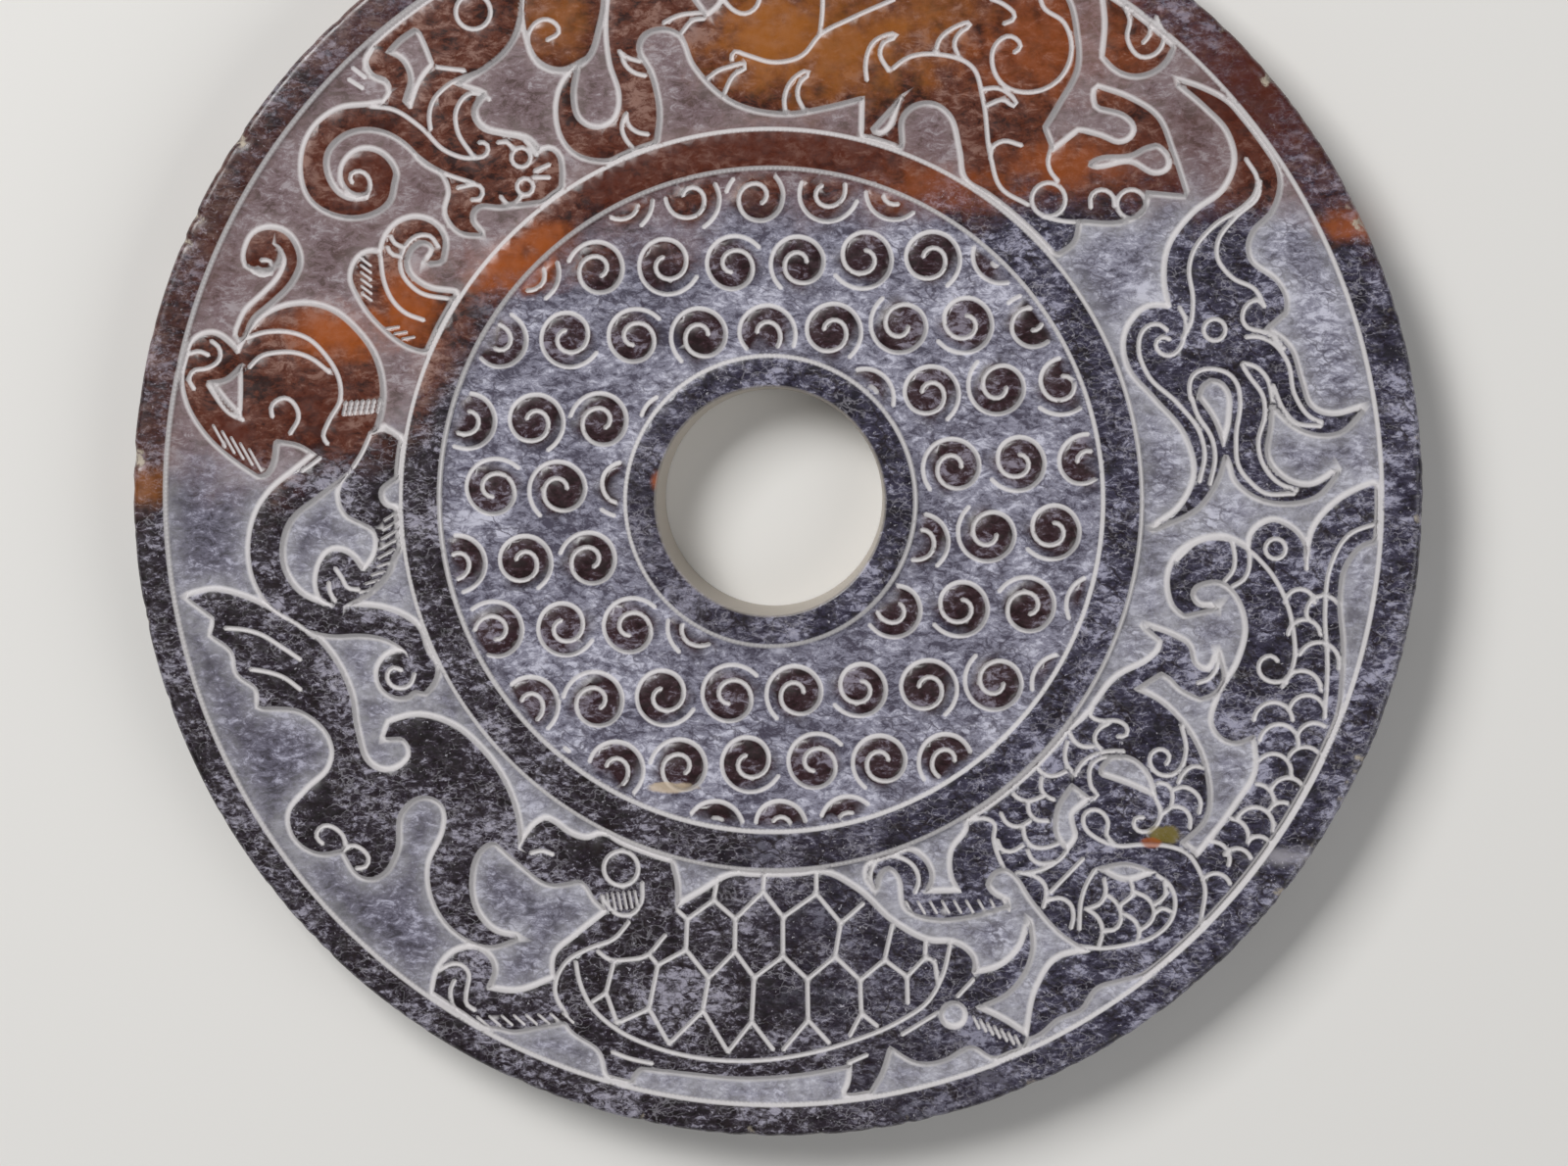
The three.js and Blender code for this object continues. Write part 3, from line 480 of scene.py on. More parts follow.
# Rows of grains: height at both ends, first grain, and for each grain the hour that its tail points to.
# A negative hour is a grain that winds outwards the other way round.
grains = {
    "pitch": 10.3,
    "turns": 1.67,
    "tailRadius": 5.0,
    "steps": 44,
    # along a stroke from its tail inwards, and the share of the radius there
    "windingShares": [(0, 1), (0.12, 0.85), (0.27, 0.78), (0.42, 0.8), (0.57, 0.62), (0.72, 0.38),
                      (0.87, 0.28), (1, 0.27)],
    "sizes": (0.96, 1.05),
    "seed": 3,
    "rows": [
        (46.8, 47.6, -22.4, (5, 5.3, -9.2, -3.4, -3)),
        (35.7, 38, -36.8, (5.2, -9.4, -3.6, 2, -7.1, 8.1, 5.1, -3.5)),
        (24.7, 27.7, -41.8, (-11.3, -3.8, 1.9, -7.1, 4.9, 5, 11, 8, -10.2)),
        (12.5, 12.6, -46.7, (8, 5.3, -9.2, -7.4)),
        (16.4, 18, 14.5, (4.6, 5, 10.8, 7.6)),
        (2, 2, -43.2, (1.8, -7.1, 7.6)),
        (5.6, 6.3, 28.2, (-7.4, 8, 4.8)),
        (-9.5, -9, -48.5, (6.7, 5.2, -9.3)),
        (-5.8, -4.6, 23.3, (5, 10.9, 7.9)),
        (-20.2, -19.2, -42.6, (-10.3, -3.7, 1.8, -7)),
        (-17, -15.6, 19.4, (9, 8, -9.8, -7)),
        (-31.4, -27.8, -37.4, (5.4, -9.1, -3.7, 1.9, -7.1, 8, 5, 10.9, -7)),
        (-41.8, -39.6, -34.5, (4.9, 5.3, -9.1, -3.7, 1.95, -6.9, -7.5, -7)),
        (-50.8, -50, -8.8, (5, 6, 4)),
    ],
}


class Patch:  # a few short ways to add nodes to one tree
    def __init__(self, tree):
        self.tree = tree

    def add(self, kind, settings=None, **inputs):
        node = self.tree.nodes.new(kind)
        for name, value in (settings or {}).items():
            setattr(node, name, value)
        for name, value in inputs.items():
            self.feed(value, node.inputs[name])
        return node

    def feed(self, value, socket):
        if isinstance(value, bpy.types.NodeSocket):
            self.tree.links.new(value, socket)
        else:
            socket.default_value = value

    def chain(self, kind, settings, *values):  # a node whose inputs are given in their order
        node = self.add(kind, settings)
        for value, socket in zip(values, node.inputs):
            self.feed(value, socket)
        return node.outputs[0]

    def math(self, kind, *values):
        return self.chain("ShaderNodeMath", {"operation": kind}, *values)

    def vector(self, kind, *values):
        return self.chain("ShaderNodeVectorMath", {"operation": kind}, *values)

    def join(self, *values):
        return self.chain("ShaderNodeCombineXYZ", None, *values)

    def length(self, vector):
        return self.add("ShaderNodeVectorMath", {"operation": "LENGTH"}, Vector=vector).outputs["Value"]

    def ease(self, value, low, high, toLow=0.0, toHigh=1.0):
        smooth = {"interpolation_type": "SMOOTHSTEP"}
        return self.chain("ShaderNodeMapRange", smooth, value, low, high, toLow, toHigh)

    def blend(self, share, a, b):
        node = self.add("ShaderNodeMix", {"data_type": "RGBA"})
        for given, k in ((share, 0), (a, 6), (b, 7)):
            self.feed(given, node.inputs[k])
        return node.outputs[2]

    def curve(self, value, points):
        node = self.add("ShaderNodeFloatCurve", Value=value)
        line = node.mapping.curves[0]
        for spot, point in zip(line.points, points):
            spot.location = point
        for point in points[2:]:
            line.points.new(*point)
        node.mapping.update()
        return node.outputs[0]

    def grain(self, vector, scale, detail=4.0, roughness=0.55, distortion=0.0):
        return self.add("ShaderNodeTexNoise", Vector=vector, Scale=scale, Detail=detail, Roughness=roughness,
                        Distortion=distortion).outputs[0]

    def stretched(self, vector, scale, turn=0.0):
        return self.add("ShaderNodeMapping", Vector=vector, Scale=scale, Rotation=(0, 0, turn)).outputs[0]

    def effect(self, group, **inputs):
        return self.add("ShaderNodeGroup", {"node_tree": group}, **inputs).outputs[0]


# a new node group: the group, its patch, the values given to it and the socket of its result
def effectGroup(name, inputs, output, family="ShaderNodeTree"):
    group = bpy.data.node_groups.new(name, family)
    for label, kind in inputs:
        group.interface.new_socket(label, in_out="INPUT", socket_type="NodeSocket" + kind)
    group.interface.new_socket(output[0], in_out="OUTPUT", socket_type="NodeSocket" + output[1])
    patch = Patch(group)
    return group, patch, patch.add("NodeGroupInput").outputs, patch.add("NodeGroupOutput").inputs[0]


def grainPlaces():
    random.seed(grains["seed"])
    places = []
    for left, right, first, tails in grains["rows"]:
        for i, tail in enumerate(tails):
            share = i / max(1, len(tails) - 1)
            turn = math.radians(90 - 30 * abs(tail))  # from the hour on a clock face
            size = random.uniform(*grains["sizes"])
            x, y = first + i * grains["pitch"], left + (right - left) * share
            places.append((x, y, turn, math.copysign(1, tail), size))
    return places


def scalePlaces():
    return [(x, y, math.radians(scales["tilt"] - lean), 1, radius) for x, y, radius, lean in scales["arcs"]]


# A tree that winds one stroke at every point: a spiral for a grain, a plain arc for a scale.
def windingTree():
    tree, p, given, out = effectGroup(
        "windingStrokes",
        [("Geometry", "Geometry"), ("Steps", "Int"), ("Turns", "Float"), ("Radius", "Float"),
         ("Winding", "Float"), ("Material", "Material")],
        ("Geometry", "Geometry"), "GeometryNodeTree")

    def mark(name):
        given = p.add("GeometryNodeInputNamedAttribute", {"data_type": "FLOAT"}, Name=name)
        return given.outputs["Attribute"]

    strand = p.add("GeometryNodeMeshLine", Count=given["Steps"]).outputs[0]
    index = p.add("GeometryNodeInputIndex").outputs[0]
    share = p.math("DIVIDE", index, p.math("SUBTRACT", given["Steps"], 1.0))
    windings = p.curve(share, grains["windingShares"])
    pull = p.math("MULTIPLY", given["Winding"], p.math("SUBTRACT", windings, 1.0))
    radius = p.math("MULTIPLY", given["Radius"], p.math("ADD", pull, 1.0))
    angle = p.math("MULTIPLY", share, p.math("MULTIPLY", given["Turns"], math.tau))
    spot = p.join(p.math("MULTIPLY", radius, p.math("COSINE", angle)),
                  p.math("MULTIPLY", radius, p.math("SINE", angle)))
    bend = p.add("GeometryNodeSetPosition", Geometry=strand, Position=spot).outputs[0]
    rotation = p.chain("FunctionNodeEulerToRotation", None, p.join(0.0, 0.0, mark("turn")))
    size = p.join(mark("size"), p.math("MULTIPLY", mark("hand"), mark("size")), 1.0)
    copies = p.add("GeometryNodeInstanceOnPoints", Points=given["Geometry"], Instance=bend, Rotation=rotation,
                   Scale=size).outputs[0]
    real = p.chain("GeometryNodeRealizeInstances", None, copies)
    p.feed(p.add("GeometryNodeSetMaterial", Geometry=real, Material=given["Material"]).outputs[0], out)
    return tree


# The strokes that the tree winds at these places, as lists of points.
def wound(tree, places, steps, turns, radius, winding):
    mesh = bpy.data.meshes.new("strokeFeet")
    mesh.from_pydata([(place[0], place[1], 0) for place in places], [], [])
    for name, column in (("turn", 2), ("hand", 3), ("size", 4)):
        values = mesh.attributes.new(name, "FLOAT", "POINT")
        values.data.foreach_set("value", [place[column] for place in places])
    feet = bpy.data.objects.new("strokeFeet", mesh)
    bpy.context.scene.collection.objects.link(feet)
    modifier = feet.modifiers.new("winding", "NODES")
    modifier.node_group = tree
    wanted = {"Steps": steps, "Turns": float(turns), "Radius": float(radius), "Winding": float(winding)}
    for item in tree.interface.items_tree:
        if item.in_out == "INPUT" and item.name in wanted:
            modifier[item.identifier] = wanted[item.name]
    bpy.context.view_layer.update()
    made = bpy.data.meshes.new_from_object(feet.evaluated_get(bpy.context.evaluated_depsgraph_get()))
    co = readBack(made.vertices, "co", 3, np.float32)
    bpy.data.objects.remove(feet)
    bpy.data.meshes.remove(made)
    return list(co.reshape(-1, steps, 3)[:, :, :2].astype(float))


def circleLine(x, y, radius, count=None):
    count = count or max(12, int(math.tau * radius / meshing["grooveStep"]))
    angles = np.linspace(0, math.tau, count, endpoint=False)
    return np.stack([x + radius * np.cos(angles), y + radius * np.sin(angles)], 1)


def zigzag(upper, lower):  # strokes that run down and up between two rows of corners
    corners = [corner for pair in zip(upper, lower) for corner in pair] + list(upper[len(lower):])
    return list(zip(corners, corners[1:]))


def shellNet():
    strokes = list(zip(shell["stubTops"], shell["peaks"]))
    strokes += zigzag(shell["upperHeads"][:4], shell["peaks"])
    strokes += list(zip(shell["upperHeads"], shell["upperFeet"]))
    strokes += zigzag(shell["lowerHeads"], shell["upperFeet"])
    strokes += list(zip(shell["lowerHeads"], shell["lowerFeet"]))
    strokes += zigzag(shell["lowerFeet"][:3], shell["bottoms"])
    return strokes + shell["ends"]


def hairStrokes():
    strokes = []
    for first, last, count, (dx, dy) in hairRows:
        for i in range(count):
            share = i / (count - 1)
            x = first[0] + (last[0] - first[0]) * share
            y = first[1] + (last[1] - first[1]) * share
            strokes.append(((x, y), (x + dx, y + dy)))
    return strokes


def runs(line, keep):  # the stretches of a line that are kept
    parts = [[]]
    for point, kept in zip(line, keep):
        if kept:
            parts[-1].append(point)
        else:
            parts.append([])
    return [np.array(part) for part in parts if len(part) > 1]


# every groove of the carved face, as (line, closed, half its width)
def allGrooves(isRaised):
    step = meshing["grooveStep"]
    half = carving["grooveHalfWidth"]
    found = []
    for lines in (tigerLines, birdLines, tortoiseLines, serpentLines, scaleLines, dragonLines):
        found += [(spaced(lineThrough(points, meshing["pathStep"]), step), False, half) for points in lines]
    for x, y, radius in tigerRings + birdRings + serpentRings + dragonRings:
        found.append((circleLine(x, y, radius), True, half))
    for strokes, width in ((shellNet(), half), (hairStrokes(), carving["hairHalfWidth"])):
        found += [(spaced(np.array(ends, float), step), False, width) for ends in strokes]
    tree = windingTree()
    low = disc["holeRingOuter"] + carving["fieldMargin"]
    high = disc["middleRingInner"] - carving["fieldMargin"]
    for spiral in wound(tree, grainPlaces(), grains["steps"], grains["turns"], grains["tailRadius"], 1):
        radius = reach(spiral)
        found += [(part, False, half) for part in runs(spiral, (radius > low) & (radius < high))]
    for arc in wound(tree, scalePlaces(), scales["steps"], scales["sweep"], 1, 0):
        onBand = reach(arc) < disc["rimInner"] - carving["rimMargin"]
        found += [(part, False, half) for part in runs(arc, isRaised(arc) & onBand)]
    for name, side in ringSides:
        found.append((circleLine(0, 0, disc[name] - side * carving["ringGrooveInset"]), True, half))
    print("grooves:", len(found))
    return found


class Nearest:  # distance to a dense set of samples, and which sample it is
    def __init__(self, points):
        self.tree = kdtree.KDTree(len(points))
        for i, (x, y) in enumerate(points):
            self.tree.insert((x, y, 0), i)
        self.tree.balance()

    def __call__(self, places):
        found = [self.tree.find((x, y, 0))[1:] for x, y in places]
        return np.array([f[1] for f in found]), np.array([f[0] for f in found])


# the rings' borders, and on which side the sunk ground lies: 1 outside, -1 inside
ringSides = (("holeRingOuter", 1), ("middleRingInner", -1), ("middleRingOuter", 1), ("rimInner", -1))
outlines = [lineThrough(loop, meshing["pathStep"], True, meshing["cornerTurn"]) for loop in figureOutlines()]
outlineStarts = np.concatenate(outlines)
outlineEnds = np.concatenate([np.roll(line, -1, 0) for line in outlines])
outlinePoints = np.concatenate([spaced(line, meshing["sampleStep"], True) for line in outlines])
nearOutline = Nearest(outlinePoints)
print("outlines:", len(outlines), "samples:", len(outlinePoints))


def insideFigures(places):  # by how often a level line from the place crosses the outlines
    x0, y0 = outlineStarts.T
    x1, y1 = outlineEnds.T
    slope = (x1 - x0) / np.where(np.abs(y1 - y0) < 1e-9, 1e-9, y1 - y0)
    inside = np.zeros(len(places), bool)
    for first in range(0, len(places), meshing["testBatch"]):
        batch = slice(first, first + meshing["testBatch"])
        px, py = places[batch, :1], places[batch, 1:]
        crossed = ((y0 > py) != (y1 > py)) & (px < x0 + (py - y0) * slope)
        inside[batch] = crossed.sum(1) % 2 == 1
    return inside


def figureDepth(places):  # how far inside a figure, negative outside
    distance, _ = nearOutline(places)
    return np.where(insideFigures(places), distance, -distance)


grooves = allGrooves(lambda places: figureDepth(places) > 0)
grooveSamples = [spaced(line, meshing["sampleStep"], closed) for line, closed, _ in grooves]
grooveHalves = np.repeat([half for _, _, half in grooves], [len(part) for part in grooveSamples])
nearGroove = Nearest(np.concatenate(grooveSamples))
grainCentres = np.array([place[:2] for place in grainPlaces()])
nearGrain = Nearest(grainCentres)


def ringDepth(radius):  # how far inside a flat ring, negative outside
    middle = np.minimum(radius - disc["middleRingInner"], disc["middleRingOuter"] - radius)
    return np.maximum(np.maximum(radius - disc["rimInner"], middle), disc["holeRingOuter"] - radius)


def wall(depth):  # from 0 below a figure's edge to 1 on its top
    return smoothStep(-carving["wallOut"], carving["wallIn"], depth)


def bloom(depth):  # pale dust that thins out away from an edge
    return np.exp(-np.clip(-depth, 0, None) / carving["dustReach"])


# height of the carved face, with what the finish needs to know about it
def carvedFace(places):
    radius = reach(places)
    rings = ringDepth(radius)
    figures = figureDepth(places)
    fromGrain, _ = nearGrain(places)
    field = np.minimum(radius - disc["holeRingOuter"] - carving["grainGap"],
                       disc["middleRingInner"] - carving["grainGap"] - radius)
    inGrain = np.minimum(disc["grainRadius"] - fromGrain, field)
    raisedShare = np.maximum(wall(rings), wall(figures))
    shoulder = carving["shoulder"] * np.exp(-np.clip(figures, 0, None) / carving["shoulderReach"])
    figureRise = wall(figures) * (disc["groundDepth"] - shoulder)
    ringRise = wall(rings) * disc["groundDepth"]
    dome = 1 - carving["domeFall"] * np.clip(fromGrain / disc["grainRadius"], 0, 1) ** 2
    grainShare = smoothStep(*carving["grainFoot"], inGrain)
    grainRise = grainShare * dome * disc["grainRise"]
    rise = np.maximum(np.maximum(figureRise, ringRise), grainRise)
    uneven = np.array([noise.noise(Vector((x, y, 3)) / carving["unevennessSize"]) for x, y in places])
    rise += uneven * carving["unevenness"] * (carving["unevennessGround"] - raisedShare)
    fromGroove, which = nearGroove(places)
    across = np.clip(1 - (fromGroove / grooveHalves[which]) ** 2, 0, 1)
    polished = np.maximum(raisedShare, grainShare)
    depth = carving["grooveDepthGround"] + (carving["grooveDepth"] - carving["grooveDepthGround"]) * polished
    height = disc["thickness"] - disc["groundDepth"] + rise - across * depth
    edgeLine = smoothStep(*carving["edgeLineInner"], figures) * smoothStep(*carving["edgeLineOuter"], figures)
    line = np.maximum(smoothStep(*carving["lineFade"], across), edgeLine * (rings < carving["ringClear"]))
    ringDust = carving["ringDust"] * bloom(rings) * (radius > carving["ringDustFrom"])
    return {
        "height": np.minimum(height, disc["thickness"]),
        "ground": 1 - polished,
        "groove": line,
        "dust": np.maximum(bloom(figures) * (radius > disc["middleRingInner"]), ringDust),
        "bead": grainShare * (raisedShare < 0.5),
    }


def ringPoints(radius):
    return circleLine(0, 0, radius, meshing["roundSegments"])


def facePoints():  # close together along every edge and groove, wide apart between them
    step = meshing["outlineStep"]
    sets = []
    for line in outlines:
        even = spaced(line, step, True)
        normals = sideways(even, True)
        sets += [even + normals * offset for offset in meshing["outlineOffsets"]]
    for line, closed, half in grooves:
        even = spaced(line, meshing["grooveStep"], closed)
        normals = sideways(even, closed)
        sets += [even + normals * (half * share) for share in meshing["grooveShares"]]
        if not closed:
            along = np.stack([normals[:, 1], -normals[:, 0]], 1)
            sets.append(np.array([even[0] - along[0] * half, even[-1] + along[-1] * half]))
    for name, side in ringSides:
        sets += [circleLine(0, 0, disc[name] + side * offset) for offset in meshing["ringOffsets"]]
    for x, y in grainCentres:
        sets.append(circleLine(x, y, disc["grainRadius"] - meshing["grainInset"], meshing["grainPoints"]))
    shift = np.array(disc["ringCentre"])
    outer = disc["edgeRadius"] - disc["edgeRounding"]
    inner = disc["holeRadius"] + disc["holeRounding"]
    sets += [ringPoints(outer - inset) - shift for inset in meshing["rimInsets"]]
    features = np.concatenate(sets)
    features = features[reach(features + shift) < outer - meshing["edgeMargin"]]
    features = features[reach(features) > inner + meshing["holeMargin"]]
    nearFeature = Nearest(features)
    pitch = meshing["fillStep"]
    rowPitch = pitch * meshing["fillRows"]
    jitter = meshing["fillJitter"]
    random.seed(meshing["seed"])
    fill = []
    for j in range(int(outer * 2 / rowPitch) + 1):
        for i in range(int(outer * 2 / pitch) + 1):
            x = -outer + (i + 0.5 * (j % 2)) * pitch + random.uniform(-jitter, jitter)
            y = -outer + j * pitch * meshing["fillRows"] + random.uniform(-jitter, jitter)
            fill.append((x, y))
    fill = np.array(fill)
    fill = fill[reach(fill) < outer - meshing["fillMargin"]] - shift
    fill = fill[reach(fill) > inner + meshing["fillMargin"]]
    clear, _ = nearFeature(fill)
    everything = np.concatenate([features, fill[clear > meshing["fillClearance"]]])
    cells = np.round(everything / meshing["mergeCell"]).astype(np.int64)
    _, first = np.unique(cells, axis=0, return_index=True)
    return everything[np.sort(first)]


# Chips along the outer edge: direction in degrees, width, and how deep they bite.
edgeChips = {
    "named": [(146.3, 0.9, 0.8), (154.2, 0.7, 0.6), (156.7, 0.6, 0.5), (176.6, 1.2, 0.8), (40.2, 0.8, 0.9),
              (25.0, 0.7, 0.9), (-2.0, 0.6, 0.6), (-38.0, 0.9, 0.5), (-24.0, 0.7, 0.6), (128.0, 0.7, 0.5)],
    "count": 190,
    "widths": (0.3, 0.9),
    "bites": (0.06, 0.32),
    "reach": 1.3,  # how far a chip runs in over the face
    "roughest": -12.0,  # the direction in which the edge is most worn
    "roughSpread": 38,
    "roughShare": 0.6,
    "waver": 0.14,
    "waverSize": 9,
    "drop": 0.75,  # shares of a bite: down off the face, in off the rounded edge, in off the wall
    "arcBite": (0.35, 0.5),
    "wallBite": 0.6,
}


def chipBites(angles):
    random.seed(meshing["seed"] + 1)
    chips = list(edgeChips["named"])
    for _ in range(edgeChips["count"]):
        if random.random() < edgeChips["roughShare"]:
            at = edgeChips["roughest"] + random.gauss(0, edgeChips["roughSpread"])
        else:
            at = random.uniform(0, 360)
        chips.append((at, random.uniform(*edgeChips["widths"]), random.uniform(*edgeChips["bites"])))
    bite = np.zeros(len(angles))
    for at, width, depth in chips:
        off = (np.degrees(angles) - at + 180) % 360 - 180
        along = np.radians(off) * disc["edgeRadius"]
        bite = np.maximum(bite, depth * np.exp(-((along / width) ** 2)))
    return bite


class RingStack:  # vertices and their marks, to which ring after ring is added and joined
    def __init__(self, coords, height, marks, tris):
        self.places = [np.column_stack([coords, height])]
        self.marks = {name: [values] for name, values in marks.items()}
        self.tris = [tris]
        self.total = len(coords)

    def add(self, last, points, z, **given):  # the marks that aren't given are 0
        count = len(points)
        self.places.append(np.column_stack([points, np.broadcast_to(z, count)]))
        for name, parts in self.marks.items():
            parts.append(np.broadcast_to(np.asarray(given.get(name, 0), float), count))
        ring = np.arange(self.total, self.total + count)
        self.total += count
        self.join(last, ring)
        return ring

    def join(self, a, b):
        nextA, nextB = np.roll(a, -1), np.roll(b, -1)
        self.tris += [np.column_stack([a, b, nextA]), np.column_stack([nextA, b, nextB])]


def undersideRows():  # radius, height, and how much of it is sunk ground
    low = disc["backGroundDepth"]
    flat, sunk = disc["borderFlat"], disc["borderSunk"]
    rows = [(disc["backRimRow"], 0, 0)]
    for outside, between, inside, onRing in disc["backFields"]:
        rows += [(disc[outside] + flat, 0, 0), (disc[outside] - sunk, low, 1)]
        rows += [(radius, low, 1) for radius in between]
        rows += [(disc[inside] + sunk, low, 1), (disc[inside] - flat, 0, 0), (onRing, 0, 0)]
    return rows


# The disc: the carved face, then rings down the outer edge, across the underside and up the hole's wall.
def buildDisc():
    segments = meshing["roundSegments"]
    top = disc["thickness"]
    shift = np.array(disc["ringCentre"])
    rounding = disc["edgeRounding"]
    outerFlat = disc["edgeRadius"] - rounding
    holeRing = ringPoints(disc["holeRadius"] + disc["holeRounding"])
    plan = np.concatenate([ringPoints(outerFlat) - shift, holeRing, facePoints()])
    print("face points:", len(plan))
    coords, _, faces, _, _, _ = delaunay_2d_cdt([Vector(p) for p in plan], [], [], 0, meshing["mergeLimit"])
    coords = np.array([(v.x, v.y) for v in coords])
    faces = np.array(faces)
    acrossHole = ((faces >= segments) & (faces < 2 * segments)).all(1)  # all three corners on the hole's edge
    face = carvedFace(coords)
    inFrame = coords + shift
    chip = chipBites(np.arctan2(inFrame[:, 1], inFrame[:, 0]))
    chip *= smoothStep(edgeChips["reach"], 0.0, outerFlat - reach(inFrame))
    height = face.pop("height") - chip * edgeChips["drop"]
    marks = dict(face, chip=chip, bore=np.zeros(len(coords)))
    stack = RingStack(inFrame, height, marks, faces[~acrossHole])

    # down the outer edge
    angles = np.linspace(0, math.tau, segments, endpoint=False)
    outward = np.stack([np.cos(angles), np.sin(angles)], 1)
    bite = chipBites(angles)
    size = edgeChips["waverSize"]
    waver = np.array([noise.noise(Vector((math.cos(a), math.sin(a), 0)) * size) for a in angles])
    worn = edgeChips["waver"] * (0.5 + 0.5 * waver)
    ring = np.arange(segments)
    biteLow, biteHigh = edgeChips["arcBite"]
    for a in np.radians(disc["topArc"]):
        radius = outerFlat + (rounding - worn) * math.cos(a) - bite * (biteLow + biteHigh * math.cos(a))
        z = top - rounding + rounding * math.sin(a) - bite * edgeChips["drop"] * math.sin(a)
        ring = stack.add(ring, outward * radius[:, None], z, chip=bite)
    for z, share in disc["wallRows"]:
        radius = disc["edgeRadius"] - worn - bite * share * edgeChips["wallBite"]
        ring = stack.add(ring, outward * radius[:, None], z, chip=bite * share)
    for a in np.radians(disc["footArc"]):
        radius = outerFlat + (rounding - worn) * math.cos(a)
        ring = stack.add(ring, outward * radius[:, None], rounding - rounding * math.sin(a))
    for radius, z, ground in undersideRows():
        ring = stack.add(ring, ringPoints(radius) + shift, z, ground=ground)
    for radius, z in disc["boreRows"]:
        bore = 1 if z < disc["boreLip"] else disc["boreLipShare"]
        ring = stack.add(ring, ringPoints(radius) + shift, z, bore=bore)
    stack.join(ring, np.arange(segments, 2 * segments))

    co = np.concatenate(stack.places) * mm
    tris = np.concatenate(stack.tris)
    mesh = bpy.data.meshes.new("carvedDisc")
    mesh.from_pydata(co.tolist(), [], tris.tolist())
    for name, parts in stack.marks.items():
        values = mesh.attributes.new(name, "FLOAT", "POINT")
        values.data.foreach_set("value", np.concatenate(parts).astype(np.float32))
    mesh.polygons.foreach_set("use_smooth", [True] * len(mesh.polygons))
    # normals weighted by face size, so that flat tops stay flat beside a groove
    facing = np.cross(co[tris[:, 1]] - co[tris[:, 0]], co[tris[:, 2]] - co[tris[:, 0]])
    normals = np.zeros_like(co)
    for k in range(3):
        np.add.at(normals, tris[:, k], facing)
    mesh.normals_split_custom_set_from_vertices(unit(normals).tolist())
    mesh.validate()
    made = bpy.data.objects.new("carvedDisc", mesh)
    bpy.context.scene.collection.objects.link(made)
    print("disc triangles:", len(mesh.polygons))
    return made


def tone(*seen):  # a colour given as it is seen, 0 to 255
    shares = [v / 255 for v in seen]
    return (*(v / 12.92 if v < 0.0404 else ((v + 0.055) / 1.055) ** 2.4 for v in shares), 1)


# What the effects are made of: scales, details and limits of their noises.
effects = {
    "stainNoise": (0.35, 4),
    "swayScale": 0.5,
    "sway": (3.2, 3.2, 3.2),
    "crackStretch": (0.55, 1.35, 1),
    "patchNoise": (0.16, 3),
    "patchLimits": (0.4, 0.6),
    "broadDetail": 3,
    "fibreStretch": (0.68, 1.2, 1),
    "fibreTurn": -0.35,
    "fibreNoise": (8, 0.78, 0.45),  # detail, roughness, distortion
    "fibreShare": 0.7,
    "lowToMiddle": (0.42, 0.5),
    "middleToHigh": (0.5, 0.6),
}


# a stain or a glow with a ragged border
def stainGroup():
    group, p, given, out = effectGroup(
        "stain",
        [("Vector", "Vector"), ("Centre", "Vector"), ("Size", "Vector"), ("Ragged", "Float"),
         ("Softness", "Float")],
        ("Mask", "Float"))
    off = p.vector("SUBTRACT", given["Vector"], given["Centre"])
    away = p.length(p.vector("DIVIDE", off, given["Size"]))
    rough = p.math("SUBTRACT", p.grain(given["Vector"], *effects["stainNoise"]), 0.5)
    reached = p.math("MULTIPLY_ADD", rough, given["Ragged"], away)
    p.feed(p.ease(reached, p.math("SUBTRACT", 1.0, given["Softness"]), 1.0, 1.0, 0.0), out)
    return group


# fine cracks that run mostly along one direction, in patches
def crackGroup():
    group, p, given, out = effectGroup(
        "fineCracks", [("Vector", "Vector"), ("Scale", "Float"), ("Width", "Float"), ("Amount", "Float")],
        ("Mask", "Float"))
    sway = p.add("ShaderNodeTexNoise", Vector=given["Vector"], Scale=effects["swayScale"], Detail=4.0)
    straight = p.stretched(given["Vector"], effects["crackStretch"])
    bent = p.vector("MULTIPLY_ADD", sway.outputs["Color"], effects["sway"], straight)
    cells = p.add("ShaderNodeTexVoronoi", {"feature": "DISTANCE_TO_EDGE"}, Vector=bent, Scale=given["Scale"])
    crack = p.ease(cells.outputs["Distance"], 0.0, given["Width"], 1.0, 0.0)
    patches = p.ease(p.grain(given["Vector"], *effects["patchNoise"]), *effects["patchLimits"])
    p.feed(p.math("MULTIPLY", p.math("MULTIPLY", crack, patches), given["Amount"]), out)
    return group


# three tones laid over each other by broad clouds and fine fibres
def cloudGroup():
    group, p, given, out = effectGroup(
        "cloudedTone",
        [("Vector", "Vector"), ("Broad", "Float"), ("Fine", "Float"), ("Spread", "Float"), ("Low", "Color"),
         ("Middle", "Color"), ("High", "Color")],
        ("Color", "Color"))
    share = effects["fibreShare"]
    broad = p.math("MULTIPLY", p.grain(given["Vector"], given["Broad"], effects["broadDetail"]), 1 - share)
    along = p.stretched(given["Vector"], effects["fibreStretch"], effects["fibreTurn"])
    fine = p.math("MULTIPLY", p.grain(along, given["Fine"], *effects["fibreNoise"]), share)
    mixed = p.math("ADD", broad, fine)
    low = p.blend(p.ease(mixed, *effects["lowToMiddle"]), given["Low"], given["Middle"])
    high = p.math("MULTIPLY", p.ease(mixed, *effects["middleToHigh"]), given["Spread"])
    p.feed(p.blend(high, low, given["High"]), out)
    return group


